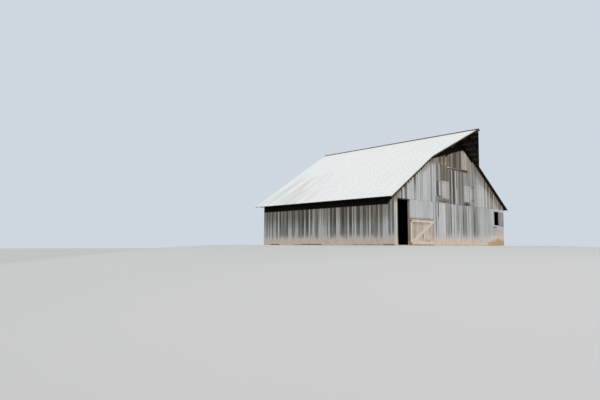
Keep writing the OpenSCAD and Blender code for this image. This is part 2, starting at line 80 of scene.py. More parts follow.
LATH_DROP = RIDGE_Z - NOTCH_HALF * RISE - GABLE_HIGH.z


def span_of(name):
    """Where a node starts and ends along the front wall, from the ridge line."""
    return [corner.x - RIDGE_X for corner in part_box(name)]


# Places along the front wall, from the ridge line, as the photograph shows them
WALL_LEFT_U = LEFT_X - RIDGE_X
WALL_RIGHT_U = RIGHT_X - RIDGE_X
CORNER_END = span_of("front_corner_panel")[1]
CORNER_CREAM = CORNER_END - 0.165
CORNER_BROWN = CORNER_END - 0.060
DOOR_POST = span_of("door_post_board")
POST_STAIN = DOOR_POST[0] + 0.062
POST_BROWN = DOOR_POST[1] - 0.050
HALF_DOOR = span_of("half_door")
HALF_DOOR_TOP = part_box("over_door_panel")[0].z
HAY_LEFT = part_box("hay_shutter_left")
LEFT_SHUTTER = (-1.53, -1.11)
SHUTTER_GAP = (1.545, 1.595)
DRIP_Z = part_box("hay_trim")[1].z
HINGE_MARKS = (2.68, 3.48)

# Where the sun's light goes
SUN = Vector((1.09, 1.53, -0.84))

# Colours, as linear values
LIGHT_GREY = (0.470, 0.488, 0.500)
MID_GREY = (0.228, 0.230, 0.226)
DARK_BROWN = (0.060, 0.055, 0.045)
# Painted shadow: the near-black brown of boards where the eaves, the hood and the rakes keep the sun off
PAINTED_SHADOW_BROWN = (0.022, 0.019, 0.016)
WARM = ((0.096, 0.072, 0.048), (0.400, 0.330, 0.262))
CREAM = (0.640, 0.600, 0.540)
SOIL = (0.62, 0.520, 0.425)
SOIL_ORANGE = (0.405, 0.288, 0.180)

# Tone and warmth of each kind of board
KINDS = {
    "pale": (1.00, 0.10), "light": (0.90, 0.02), "soft": (0.74, 0.05), "mid": (0.54, 0.08),
    "dark": (0.28, 0.14), "deep": (0.06, 0.15), "brown": (0.22, 0.75), "tan": (0.66, 0.50),
    "tan_dark": (0.34, 0.55), "cream": (1.10, 0.75)
}


def run_of(*items):
    """Boards side by side as (start, end, kind), from places with the kind between each two."""
    places, kinds = items[::2], items[1::2]
    return [(start, end, kind) for start, end, kind in zip(places, places[1:], kinds) if kind]


# The boards of the two walls that the photograph shows: places along the wall, with the kind of board
# between each two. They were set from crops of it and from its brightness along the wall.
LOW_STRIPS = run_of(
    -2.24, "dark", -2.14, "soft", -1.99, "dark", -1.91, "light", -1.58, "pale", -1.40, "cream", -1.22, "tan",
    -1.12, "soft", -1.03, "mid", -0.77, "tan", -0.65, "dark", -0.53, "light", -0.30, "mid", -0.22, "light",
    -0.02, "tan", 0.15, "mid", 0.36, "soft", 0.70, "dark", 0.87, "mid", 1.00, "dark", 1.23, "soft",
    1.41, "mid", 1.52, "soft", 1.74, "tan", 2.02, "dark", 2.30, "mid", 2.60, "soft", 2.92, "light",
    3.41, "soft", 3.59, "soft", 4.32, "light", 6.20
)
GABLE_STRIPS = run_of(
    -5.82, "tan", -5.70, "mid", -5.58, "soft", -5.46, "dark", -5.33, "light", -5.11, "dark", -4.93, "light",
    -4.29, "dark", -4.10, "light", -3.70, "soft", -3.47, "pale", -3.17, "light", -2.68, "mid",
    -2.54, "light", -2.12, "deep", -1.86, "pale", -1.72, "brown", -1.58, None, -0.80, "mid", -0.68, "deep",
    -0.50, "soft", -0.36, "deep", -0.15, "mid", -0.06, "light", 0.06, "brown", 0.16, "soft",
    0.32, "tan_dark", 0.51, "mid", 0.71, "dark", 0.87, "mid", 1.05, "soft", 1.16, "mid", 1.44, "mid",
    1.70, "tan", 1.90, "mid", 2.22, "soft", 2.60, "light", 2.92, "light", 3.52, "brown", 3.68, "light",
    3.88, "tan_dark", 4.14, "light", 4.30, "brown", 4.46, "tan", 4.62, "dark", 4.75, "pale",
    4.90, "tan_dark", 5.02, "light", 5.14, "brown", 5.24, "light", 5.40, "tan_dark", 5.50, "pale", 5.62
)
HOOD_STRIPS = run_of(
    -2.64, "brown", -2.40, "tan", -2.10, "tan", -1.78, "brown", -1.60, "tan", -1.35, "brown", -1.17, "mid",
    -0.95, "mid", -0.68, "brown", -0.47, "mid", -0.25, "brown", 0.16, "mid", 0.45, "brown", 0.58, "tan_dark",
    0.72, "tan", 1.12, "soft", 1.30, "mid", 1.70
)
LEFT_STRIPS = run_of(
    0.00, "tan_dark", 0.15, "light", 0.26, "dark", 0.38, "light", 0.58, "brown", 0.62, "light",
    0.73, "tan_dark", 0.89, "soft", 1.01, "dark", 1.11, "mid", 1.29, "dark", 1.45, "light", 1.56, "dark",
    1.66, "soft", 1.75, "tan_dark", 1.97, "soft", 2.16, "dark", 2.41, "light", 2.54, "dark", 2.61, "light",
    2.70, "deep", 2.90, "light", 3.03, "dark", 3.15, "mid", 3.23, "deep", 3.42, "dark", 3.54, "light",
    3.82, "deep", 3.99, "mid", 4.12, "dark", 4.27, "soft", 4.44, "mid", 4.52, "soft", 4.76, "light",
    5.16, "mid", 5.44, "light", 5.58, "soft", 5.66, "deep", 5.76, "mid", 5.82, "light", 5.92, "deep",
    6.15, "soft", 6.30, "deep", 6.47, "mid", 6.66, "dark", 6.80, "soft", 7.09, "dark", 7.32, "soft",
    7.68, "deep", 7.80, "mid", 8.01, "dark", 8.13, "mid", 8.30, "deep", 8.45, "light", 8.62, "dark",
    8.78, "soft", 9.04, "dark", 9.14, "soft", 9.32, "dark", 9.41, "mid", 9.57, "dark", 9.67, "soft", 9.92
)


def strip_at(strips, u):
    """The kind of board at u, if the photograph shows one there."""
    for start, end, kind in strips:
        if start <= u < end:
            return kind
    return None


def strip_edges(*lists):
    """The edges of the boards in the lists, without slivers."""
    edges = []
    for edge in sorted({e for strips in lists for strip in strips for e in strip[:2]}):
        if not edges or edge - edges[-1] > 0.045:
            edges.append(edge)
    return edges


def roof_top(x):
    """Height of the metal's top over a point x from the ridge line."""
    return RIDGE_Z - abs(x) * RISE


def lath_under(x):
    """Height of the underside of the laths over a point x from the ridge line."""
    return roof_top(x) - LATH_DROP


def smooth(value, low, high):
    """0 below low and 1 above high, with a soft step between."""
    t = min(1.0, max(0.0, (value - low) / (high - low)))
    return t * t * (3 - 2 * t)


def below(value, low, high):
    """1 below low and 0 above high, with a soft step between."""
    return 1 - smooth(value, low, high)


class Tree:
    """A node tree with its end shader: a material's Principled shader or the world's background."""

    def __init__(self, owner, end):
        owner.use_nodes = True
        self.owner = owner
        self.shader = owner.node_tree.nodes[end]

    def put(self, socket, value):
        if isinstance(value, bpy.types.NodeSocket):
            self.owner.node_tree.links.new(value, socket)
        elif socket.type == "RGBA":
            socket.default_value = (*value, 1)
        else:
            socket.default_value = value

    def node(self, kind, inputs=None, out=0, **settings):
        """A node with its inputs by number or name, and one of its outputs."""
        made = self.owner.node_tree.nodes.new("ShaderNode" + kind)
        for key, value in settings.items():
            setattr(made, key, value)
        for key, value in (inputs or {}).items():
            self.put(made.inputs[key], value)
        return made.outputs[out]

    def math(self, operation, a, b=0.0, clamp=False):
        return self.node("Math", {0: a, 1: b}, operation=operation, use_clamp=clamp)

    def times(self, a, b, clamp=False):
        return self.math("MULTIPLY", a, b, clamp)

    def sum(self, *terms, clamp=False):
        total = terms[0]
        for i, term in enumerate(terms[1:]):
            total = self.math("ADD", total, term, clamp and i == len(terms) - 2)
        return total

    def around(self, value, amount):
        """A noise value made to swing round zero by an amount."""
        return self.times(self.math("SUBTRACT", value, 0.5), amount)

    def mix(self, factor, a, b):
        return self.node("Mix", {0: factor, 6: a, 7: b}, 2, data_type="RGBA")

    def span(self, value, low, high, to_low=0.0, to_high=1.0):
        ends = {1: low, 2: high, 3: to_low, 4: to_high}
        return self.node("MapRange", {0: value, **ends}, interpolation_type="SMOOTHSTEP")

    def axis(self, coords, number):
        return self.node("SeparateXYZ", {0: coords}, number)

    def place(self, seed=None, turn=(0, 0, 0)):
        """Object coordinates, moved by a board's own seed and turned so that the grain runs along Z."""
        coords = self.node("TexCoord", out="Object")
        if seed is not None:
            spread = {i: self.times(seed, factor) for i, factor in enumerate((37.0, 53.0, 91.0))}
            coords = self.node("VectorMath", {0: coords, 1: self.node("CombineXYZ", spread)}, operation="ADD")
        if any(turn):
            coords = self.node("Mapping", {"Vector": coords, "Rotation": turn})
        return coords

    def noise(self, coords, scale, detail=3.0, rough=0.55, warp=0.0):
        """Noise with a scale across the grain and along it, Z, or with one for each axis."""
        scale = scale if len(scale) == 3 else (scale[0], scale[0], scale[1])
        settings = {"Scale": 1.0, "Detail": detail, "Roughness": rough, "Distortion": warp}
        stretched = self.node("Mapping", {"Vector": coords, "Scale": scale})
        return self.node("TexNoise", {"Vector": stretched, **settings})

    def bump(self, height, strength, distance):
        inputs = {"Strength": strength, "Distance": distance, "Height": height}
        self.put(self.shader.inputs["Normal"], self.node("Bump", inputs))

    def finish(self, colour):
        self.put(self.shader.inputs["Base Color"], colour)
        return self.owner


def material_tree(name, roughness=0.88, specular=0.25):
    """The tree of a new material."""
    tree = Tree(bpy.data.materials.new(name), "Principled BSDF")
    tree.shader.inputs["Roughness"].default_value = roughness
    tree.shader.inputs["Specular IOR Level"].default_value = specular
    return tree


def board_wood(name, light=LIGHT_GREY, middle=MID_GREY, dark=DARK_BROWN, warm=WARM):
    """Bare boards. The look attribute gives tone, warmth, soil and, as alpha, the board's seed. A negative
    tone paints shadow.
    """
    tree = material_tree(name)
    look = tree.node("Attribute", out="Color", attribute_name="look")
    tone, warmth, soiled = [tree.node("SeparateColor", {0: look}, n) for n in range(3)]
    coords = tree.place(tree.node("Attribute", out="Alpha", attribute_name="look"))
    grain = tree.noise(coords, (42, 1.3), 5, 0.62, 0.5)
    fibre = tree.noise(coords, (230, 6), 2)
    streak = tree.noise(coords, (16, 0.45), 3, 0.6)
    patch = tree.noise(coords, (2.2, 1.6), 3)
    value = tree.sum(
        tone, tree.around(grain, 0.36), tree.around(fibre, 0.20),
        tree.around(streak, 0.70), tree.around(patch, 0.24), clamp=True
    )
    low = tree.mix(tree.span(value, 0.0, 0.5), dark, middle)
    colour = tree.mix(tree.span(value, 0.42, 0.95), low, light)
    browned = tree.times(warmth, tree.span(streak, 0.25, 0.7, 0.45, 1.0), clamp=True)
    warm_tone = tree.mix(tree.span(value, 0.80, 1.0), tree.mix(value, *warm), CREAM)
    colour = tree.mix(browned, colour, warm_tone)
    ragged = tree.noise(coords, (5.5, 2.6), 4, 0.65)
    covered = tree.times(soiled, tree.span(ragged, 0.28, 0.66, 0.25, 1.3), clamp=True)
    speck = tree.times(tree.span(tree.noise(coords, (13, 6), 3), 0.50, 0.66), 0.7)
    heavy = tree.span(tree.sum(soiled, tree.around(ragged, 2.4)), 1.0, 1.9)
    orange = tree.math("MAXIMUM", heavy, tree.times(speck, covered))
    colour = tree.mix(covered, colour, tree.mix(orange, SOIL, SOIL_ORANGE))
    split = tree.span(tree.noise(coords, (75, 1.0), 2, 0.5, 0.3), 0.30, 0.36, 1.0, 0.0)
    crack = tree.times(split, 0.55)
    colour = tree.mix(crack, colour, dark)
    tree.bump(tree.sum(grain, tree.times(fibre, 0.4), tree.times(crack, -0.8)), 0.45, 0.004)
    # A negative tone turns the boards to the near-black of the painted shadow
    return tree.finish(tree.mix(tree.span(tone, -0.15, -0.85), colour, PAINTED_SHADOW_BROWN))


def plain_wood(name, light, dark, turn=(0, 0, 0)):
    """Timber with saw marks, whose grain runs along the turned Z axis."""
    tree = material_tree(name, 0.9)
    coords = tree.place(turn=turn)
    grain = tree.noise(coords, (26, 1.1), 5, 0.6, 0.6)
    fibre = tree.noise(coords, (170, 7), 2)
    blotch = tree.noise(coords, (3, 1.2), 3)
    saw = tree.noise(coords, (3, 150), 1)
    value = tree.sum(
        0.5, tree.around(grain, 0.7), tree.around(fibre, 0.3), tree.around(blotch, 0.6), clamp=True
    )
    tree.bump(tree.sum(grain, tree.times(fibre, 0.3), tree.times(saw, 0.35)), 0.5, 0.004)
    return tree.finish(tree.mix(value, dark, light))


def roof_paint():
    """White painted roof metal with faint streaks down the slope, more of them far back and low."""
    tree = material_tree("roof_paint", 0.55, 0.3)
    coords = tree.place()
    wide, narrow = [
        tree.noise(coords, (0.30, across, 0.30), detail, 0.6)
        for across, detail in ((1.7, 3.0), (8.0, 5.0))
    ]
    cloud = tree.noise(coords, (0.6, 0.6), 3)
    fine = tree.noise(coords, (60, 60), 2)
    far_back = tree.span(tree.axis(coords, 1), 0.2, 2.6)
    worn = tree.times(far_back, tree.span(tree.axis(coords, 2), 5.1, 3.9))
    marked = tree.times(worn, tree.span(wide, 0.46, 0.60))
    base = tree.mix(tree.span(cloud, 0.3, 0.7), (0.845, 0.862, 0.860), (0.870, 0.880, 0.876))
    base = tree.mix(tree.span(narrow, 0.62, 0.80, 0.0, 0.30), base, (0.76, 0.78, 0.775))
    base = tree.mix(tree.times(marked, 0.62), base, (0.60, 0.635, 0.620))
    tree.bump(tree.sum(fine, cloud), 0.06, 0.002)
    return tree.finish(base)


def post_wood():
    """The post beside the half door: stained and bare below the door's top, grey above, with painted shade at
    its top.
    """
    tree = material_tree("post_wood", 0.9)
    coords = tree.place()
    grain = tree.noise(coords, (30, 1.2), 5, 0.6, 0.6)
    blotch = tree.noise(coords, (5, 2.0), 4, 0.6)
    value = tree.sum(0.5, tree.around(grain, 0.9), tree.around(blotch, 0.7), clamp=True)
    stained = tree.mix(value, (0.150, 0.090, 0.040), (0.370, 0.262, 0.142))
    grey = tree.mix(value, (0.125, 0.110, 0.090), (0.330, 0.330, 0.315))
    edge = tree.sum(tree.axis(coords, 2), tree.around(blotch, 0.16))
    colour = tree.mix(tree.span(edge, HALF_DOOR_TOP, HALF_DOOR_TOP + 0.12), stained, grey)
    # Painted shade at the top of the post
    colour = tree.mix(tree.span(edge, 2.12, 2.24), colour, PAINTED_SHADOW_BROWN)
    tree.bump(grain, 0.5, 0.004)
    return tree.finish(colour)


def rake_wood(light, dark):
    """The boards along the rakes and the hood: brown on the left slope, and on the right slope painted shade
    of nearly black.
    """
    tree = material_tree("rake_wood", 0.9)
    coords = tree.place(turn=(0, math.pi / 2, 0))
    grain = tree.noise(coords, (26, 1.1), 5, 0.6, 0.6)
    blotch = tree.noise(coords, (3, 1.2), 3)
    value = tree.sum(0.5, tree.around(grain, 0.8), tree.around(blotch, 0.6), clamp=True)
    # Painted shade: the nearly black colour of the boards on the right slope
    right_painted_shade = tree.mix(value, (0.014, 0.012, 0.010), (0.050, 0.041, 0.032))
    side = tree.span(tree.axis(tree.place(), 0), RIDGE_X - 0.05, RIDGE_X + 0.05)
    tree.bump(grain, 0.5, 0.004)
    return tree.finish(tree.mix(side, tree.mix(value, dark, light), right_painted_shade))


def metal(name, clean, rust, roughness, amount=(0.40, 0.62), scale=9.0):
    """Dull metal with patches of rust."""
    tree = material_tree(name, roughness, 0.35)
    coords = tree.place()
    patch = tree.noise(coords, (scale, scale), 5, 0.65)
    fine = tree.noise(coords, (140, 140), 2)
    mask = tree.span(tree.sum(patch, tree.around(fine, 0.15)), *amount)
    tree.bump(tree.sum(patch, fine), 0.35, 0.002)
    return tree.finish(tree.mix(mask, clean, rust))


WOOD = board_wood("weathered_boards")
# Painted shade: the inside faces of the boards are near-black
INNER_PAINTED_SHADE = plain_wood("inner_wood_painted_shade", (0.036, 0.029, 0.022), (0.012, 0.010, 0.008))
NAIL_RUST = metal("nail_rust", (0.10, 0.075, 0.06), (0.16, 0.075, 0.04), 0.75)
DOOR_WOOD = board_wood(
    "door_boards", light=(0.560, 0.505, 0.440), middle=(0.375, 0.318, 0.268),
    dark=(0.160, 0.115, 0.085), warm=((0.20, 0.13, 0.085), (0.52, 0.42, 0.33))
)
PALE_WOOD = board_wood("pale_boards", light=(0.530, 0.545, 0.555), middle=(0.35, 0.35, 0.345))
RAIL_WOOD = board_wood(
    "rail_boards", light=(0.665, 0.605, 0.545), middle=(0.42, 0.36, 0.31), dark=(0.16, 0.115, 0.085)
)
ROOF = roof_paint()
ROOF_NAIL = metal("roof_nails", (0.76, 0.77, 0.77), (0.36, 0.28, 0.22), 0.9, (0.62, 0.75), 3.0)
RIDGE_METAL = metal("ridge_metal", (0.105, 0.096, 0.082), (0.215, 0.145, 0.095), 0.8, (0.38, 0.66), 2.5)
# Painted shade: the underside of the roof sheets is near-black
SHEET_BACK_PAINTED_SHADE = metal("sheet_underside_painted_shade", (0.026, 0.023, 0.020), (0.040, 0.028, 0.019), 0.75)
WALL_MATERIALS = [WOOD, INNER_PAINTED_SHADE, NAIL_RUST]
PALE_MATERIALS = [PALE_WOOD, INNER_PAINTED_SHADE, NAIL_RUST]


def wall_plane(origin, along, inward):
    """Points of a flat wall: u runs along it, d inwards from its outer face and z up."""
    origin, along, inward = Vector(origin), Vector(along), Vector(inward)
    return lambda u, d, z: origin + along * u + inward * d + Vector((0, 0, z))


FRONT = wall_plane((RIDGE_X, FRONT_Y, 0), (1, 0, 0), (0, 1, 0))
BACK = wall_plane((RIDGE_X, BACK_Y, 0), (1, 0, 0), (0, -1, 0))
LEFT = wall_plane((LEFT_X, FRONT_Y, 0), (0, 1, 0), (1, 0, 0))
RIGHT = wall_plane((RIGHT_X, FRONT_Y, 0), (0, 1, 0), (-1, 0, 0))


def placed(name, data):
    """A new object with this data, in the scene."""
    made = bpy.data.objects.new(name, data)
    bpy.context.scene.collection.objects.link(made)
    return made


class Shape:
    """The mesh of one piece while it is built: points, faces, their material and the points' looks."""

    def __init__(self):
        self.points = []
        self.faces = []
        self.slots = []
        self.looks = []

    def add(self, points, faces, slots, looks):
        base = len(self.points)
        self.points += points
        self.faces += [tuple(base + i for i in face) for face in faces]
        self.slots += slots
        self.looks += looks

    def piece(self, name, node, slot="weathered_boards", materials=WALL_MATERIALS, body="barn"):
        """Makes the piece, which stands for a node and rides on a body."""
        mesh = bpy.data.meshes.new(name)
        mesh.from_pydata([tuple(p) for p in self.points], [], self.faces)
        for material in materials:
            mesh.materials.append(material)
        mesh.polygons.foreach_set("material_index", self.slots)
        look = mesh.attributes.new("look", "FLOAT_COLOR", "POINT")
        look.data.foreach_set("color", [c for value in self.looks for c in value])
        work = bmesh.new()
        work.from_mesh(mesh)
        bmesh.ops.recalc_face_normals(work, faces=work.faces)
        work.to_mesh(mesh)
        work.free()
        mesh.update()
        made = placed(name, mesh)
        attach(made, body)
        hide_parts(node)


def tube(rings, size, ends=True):
    """Faces of a tube of rings, each a loop of size points: its sides ring by ring, then its ends."""
    faces = []
    for k in range(rings - 1):
        for i in range(size):
            j = (i + 1) % size
            faces.append((k * size + i, k * size + j, (k + 1) * size + j, (k + 1) * size + i))
    if ends:
        last = (rings - 1) * size
        faces.append(tuple(range(size)))
        faces.append(tuple(last + i for i in reversed(range(size))))
    return faces


# Heights between the rings of a board, at most and at least
RING_STEP = 0.34
RING_LEAST = 0.02
# A board's softened edge, the gap between two boards' backs and the wood left behind the deepest face
CHAMFER = 0.003
BACK_GAP = 0.0003
LEAST_T = 0.004


def levels_between(low, high, marks):
    """Heights of the rings of a board between its two ends, with one at each mark."""
    count = int((high - low) / RING_STEP)
    rings = [low + (high - low) * (i + 1) / (count + 1) for i in range(count)]
    for mark in marks:
        if low + RING_LEAST < mark < high - RING_LEAST:
            rings = [r for r in rings if abs(r - mark) > RING_LEAST] + [mark]
    return sorted(rings)


def board(shape, wall, edges, ends, look, rng, marks, worn):
    """One board between two edges. ends gives the low and high end as functions of u."""
    u0, u1 = edges
    low, high = ends
    width = u1 - u0
    middle = (u0 + u1) / 2
    numbers = [rng.random() for _ in range(3)]
    gap = rng.uniform(0.001, 0.003)
    if rng.random() < 0.22:
        gap += rng.uniform(0.001, 0.004)
    gap = min(gap, width * 0.08)
    shade = [worn * max(0.0, rng.uniform(-0.12, 0.34)) for _ in (0, 1)]
    stain = [rng.uniform(0.0, 0.5) * side for side in shade]
    set_back = rng.uniform(0.0, 0.004)
    cup = rng.uniform(-0.0015, 0.0018)
    phase = rng.uniform(0, 6.28)
    lean = rng.uniform(-0.0015, 0.0015)
    bottom = max(low(u0), low(u1))
    top = max(min(high(u0), high(u1)), bottom + RING_LEAST)
    spots = marks(middle) if callable(marks) else marks
    rings = [None] + levels_between(bottom, top, spots) + [None]
    points, looks = [], []
    for k, level in enumerate(rings):
        left = gap + rng.uniform(0, 0.0012)
        right = gap + rng.uniform(0, 0.0012)
        section = [
            (u0 + BACK_GAP, BOARD_T), (u0 + left, CHAMFER), (u0 + left + CHAMFER, 0.0),
            (u0 + 0.24 * width, cup), (u0 + 0.76 * width, cup),
            (u1 - right - CHAMFER, 0.0), (u1 - right, CHAMFER), (u1 - BACK_GAP, BOARD_T)
        ]
        end = low if k == 0 else high
        middle_z = end(middle) if level is None else level
        out = set_back + 0.0012 * (1 + math.sin(phase + 1.3 * middle_z)) + lean * (k / len(rings))
        out = max(0.0, out)
        tone, warmth, soil = look(middle, middle_z, numbers)
        for i, (u, d) in enumerate(section):
            z = end(u) if level is None else level
            depth = d if d == BOARD_T else min(BOARD_T - LEAST_T, max(0.0, out + d))
            points.append(wall(u, depth, z))
            side = 0 if i < 3 else 1
            edge = 0.0 if i in (3, 4) or tone < 0 else 1.0
            looks.append((tone - edge * shade[side], warmth + edge * stain[side], soil, numbers[2]))
    size = len(section)
    slots = ([0] * (size - 1) + [1]) * (len(rings) - 1) + [0, 0]
    shape.add(points, tube(len(rings), size), slots, looks)


def board_edges(start, end, rng, widths, fixed):
    """Edges of boards of random widths from start to end, with an edge at each fixed place."""
    stops = sorted({start, end, *[f for f in fixed if start + 0.01 < f < end - 0.01]})
    edges = [start]
    for a, b in zip(stops, stops[1:]):
        count = max(1, round((b - a) / (sum(widths) / 2)))
        parts = [rng.uniform(*widths) for _ in range(count)]
        at = a
        for part in parts[:-1]:
            at += part * (b - a) / sum(parts)
            edges.append(at)
        edges.append(b)
    return list(zip(edges, edges[1:]))


# The corners of a nail head round its middle
HEAD_RING = [(math.cos(a), math.sin(a)) for a in (2 * math.pi * i / 6 for i in range(6))]
# The size of the nail heads in the walls, and how far they are from a board's edge
HEAD_R = 0.0055
NAIL_INSET = 0.035


def stud(shape, low, high, tip, look):
    """A nail head from its lower and upper ring of points and its tip."""
    size = len(HEAD_RING)
    faces = tube(2, size, False) + [(size + i, size + (i + 1) % size, 2 * size) for i in range(size)]
    faces.append(tuple(range(size)))
    shape.add(low + high + [tip], faces, [2] * len(faces), [look] * (2 * size + 1))


def nail(shape, wall, u, z):
    """A nail head that stands a little out of the boards."""
    rings = [
        [wall(u + HEAD_R * c, depth, z + HEAD_R * s) for c, s in HEAD_RING] for depth in (0.006, 0.0005)
    ]
    stud(shape, *rings, wall(u, 0.0, z), (0.2, 0.5, 0.0, 0.5))


def flat(z):
    """An end of a board at one height, as a function of the place along the wall."""
    return lambda u: z


def boarded(wall, start, end, low, high, look, seed, widths, fixed=(), holes=(), rough_low=0.0,
            rough_high=0.0, marks=(), nail_rows=(), worn=1.0, shape=None):
    """A run of boards from start to end, with holes as (u0, u1, z0, z1), in a new or a given shape."""
    shape = shape or Shape()
    rng = random.Random(seed)
    fixed = list(fixed) + [h[i] for h in holes for i in (0, 1)]
    for u0, u1 in board_edges(start, end, rng, widths, fixed):
        middle = (u0 + u1) / 2
        base = low + rng.uniform(0, rough_low)
        cut = rng.uniform(0, rough_high)
        runs = [(flat(base), lambda u, cut=cut: high(u) - cut)]
        for h in holes:
            if h[0] < middle < h[1]:
                bottom, top = runs.pop()
                runs += [(bottom, flat(h[2])), (flat(h[3]), top)]
        for run in runs:
            board(shape, wall, (u0, u1), run, look, rng, marks, worn)
            for row in nail_rows:
                z = row + rng.uniform(-0.02, 0.02)
                if run[0](middle) + 0.03 < z < min(run[1](u0), run[1](u1)) - 0.03:
                    inset = min(NAIL_INSET, (u1 - u0) / 4)
                    nail(shape, wall, u0 + inset, z)
                    nail(shape, wall, u1 - inset, z + rng.uniform(-0.012, 0.012))
    return shape


# Looks of the walls: each gives tone, warmth and soil at a place, from the board's random numbers
GROUND_MARKS = (0.08, 0.2, 0.35, 0.5, 0.7, 0.9)
# The tone of the painted shadow, given where the roof keeps the sun off
PAINTED_SHADOW_TONE = -1.0


def ground_soil(z, amount, top, foot=0.0):
    """Soil that fades upwards to a height, with more of it at the very foot."""
    return amount * below(z, 0.05, top) + foot * below(z, 0.10, 0.32)


def toned(kind, number, swing=0.14):
    """Tone and warmth of a kind of board, with a swing of its own."""
    tone, warmth = KINDS[kind]
    return tone + swing * (number - 0.5), warmth


def blend(a, b, share):
    return a + (b - a) * share


def toward(tone, warmth, to_tone, to_warmth, share):
    """Tone and warmth drawn by a share towards others."""
    return blend(tone, to_tone, share), blend(warmth, to_warmth, share)


def near_hinge(z, reach):
    """Whether a height lies within reach of a hinge of the hay shutters."""
    return min(abs(z - mark) for mark in HINGE_MARKS) < reach


def hood_shade(u):
    """Height on the front wall above which the hood and the rake keep the sun off."""
    run, drop = SUN.x / SUN.y, -SUN.z / SUN.y
    edge = 0.065
    reach = FRONT_Y - ROOF_FRONT_Y
    low = roof_top(HOOD_HALF) - edge - reach * drop
    left = -HOOD_HALF + reach * run
    right = HOOD_HALF + reach * run
    tip = (FRONT_Y - TIP_Y) * run
    top = RIDGE_Z - edge - (FRONT_Y - TIP_Y) * drop
    if left < u <= tip:
        return low + (top - low) * (u - left) / (tip - left)
    if tip < u < right:
        return top + (low - top) * (u - tip) / (right - tip)
    return roof_top(u - reach * run) - edge - reach * drop


def eave_shade(u):
    """Height on the left wall above which the eave keeps the sun off; u runs back from the front."""
    reach = EAVE[-1] + WALL_LEFT_U
    drop, run = -SUN.z / SUN.x, SUN.y / SUN.x
    low = roof_top(EAVE[-1]) - 0.02 - reach * drop
    front_reach = FRONT_Y - ROOF_FRONT_Y
    corner = reach * run - front_reach
    if u >= corner:
        return low
    return low + (corner - u) / run * drop + (corner - u) / run * RISE


def front_low_look(u, z, numbers):
    """The lower course: smooth and light beside the door, streaked in the middle, light at the right."""
    a, b, _ = numbers
    kind = strip_at(LOW_STRIPS, u)
    tone, warmth = toned(kind, b) if kind else (0.80 + 0.10 * a, 0.0)
    if kind in ("dark", "mid"):
        tone = blend(tone, 0.66, 0.5 * smooth(z, 1.7, 2.25))
    if -2.0 < u < -1.9:
        tone = blend(0.80, 0.02, smooth(z, 1.35, 1.75))
    # A darker, browner hem over the half door: dirty board ends and painted shade
    if u < HALF_DOOR[1]:
        hem = below(z, HALF_DOOR_TOP + 0.03, HALF_DOOR_TOP + 0.10 + 0.03 * b)
        tone -= 0.17 * hem
        warmth += 0.60 * hem
    near_ground = below(z, 0.35, 0.85)
    tone = blend(tone, 0.86, 0.8 * near_ground)
    warmth *= 1 - 0.8 * near_ground
    if u > 4.4:
        tone, warmth = toward(tone, warmth, 0.80, 0.32, below(z, 0.95, 1.35))
    right_end = smooth(u, 3.2, 5.2)
    soil = ground_soil(z, blend(1.0, 2.2, right_end), blend(0.60, 0.92, right_end), 0.20)
    return tone, warmth, soil * (1 + 0.25 * right_end * (a - 0.5))


# Dirt and painted shade beside the drip board and the cleats: from, to, lowest, highest and its tone
DIRT_AND_SHADE_BANDS = (
    (-0.80, 0.55, 4.28, 4.36, 0.30), (0.55, 1.42, 4.28, 4.44, 0.12), (-1.62, -0.80, 2.34, 2.56, 0.24),
    (0.90, 1.20, 2.33, 2.50, 0.30), (1.20, 1.52, 2.33, 2.53, 0.02)
)


def gable_left_end(u, below_rake, kind, tone, warmth):
    """The gable's left end: browner, and darker with painted shade, under the rake."""
    if kind == "dark":
        tone = blend(tone - 0.1, 0.74 if u > -4.5 else 0.42, 0.85 * smooth(below_rake, 0.30, 1.2))
    # Painted shade of the rake, with browning, close under it
    return tone - 0.22 * below(below_rake, 0.12, 0.5), warmth + 0.5 * below(below_rake, 0.12, 0.7)


def gable_left_middle(u, z, number, kind, tone, warmth):
    """Left of the hay shutters: browner towards the hood's shade."""
    line = hood_shade(u)
    top = smooth(z, line - 0.42, line - 0.10)
    if kind == "deep":
        tone += 0.22 * smooth(z, 3.1, 3.7)
    return blend(tone, 0.45 + 0.2 * number, 0.75 * top), blend(warmth, 0.60, top)


def gable_right_end(u, z, kind, tone, warmth):
    """Right of the hay shutters: brown at the hood's shade, browner and darker with painted shade under the
    rake.
    """
    line = hood_shade(u)
    tone, warmth = toward(min(tone, 0.64), 0.95, tone, warmth, below(z, line - 0.16, line - 0.06))
    # Below the rake: browner, and darker with painted shade of the rake
    near = below(roof_top(u) - z, 0.3, 1.0)
    if u > 2.22:
        tone -= 0.34 * near + 0.10 * smooth(z, 3.3, 3.8)
    warmth += 0.06 + 0.36 * near
    if u > 2.5 and kind in ("brown", "tan_dark", "dark"):
        return toward(tone, warmth, 0.62, 0.08, 0.8 * (1 - near))
    return tone, warmth


def under_hood(u, z, number, tone, warmth):
    """The browner boards above the drip board, with a sharp line at it and a soft one beside it."""
    kind = strip_at(HOOD_STRIPS, u)
    if not kind:
        return tone, warmth
    sharp = -0.93 < u < 1.40
    share = smooth(z, DRIP_Z - 0.10, DRIP_Z + 0.02) if sharp else smooth(z, DRIP_Z - 0.15, DRIP_Z + 0.35)
    hood_tone, hood_warmth = toned(kind, number, 0.2)
    hood_tone -= 0.16 if u < 0.72 else -0.08
    tone, warmth = toward(tone, warmth, hood_tone, hood_warmth, share)
    browned = 0.80 if u > 0.72 else {"tan": 0.92, "mid": 0.55}.get(kind)
    return tone, (blend(warmth, browned, share) if browned else warmth)


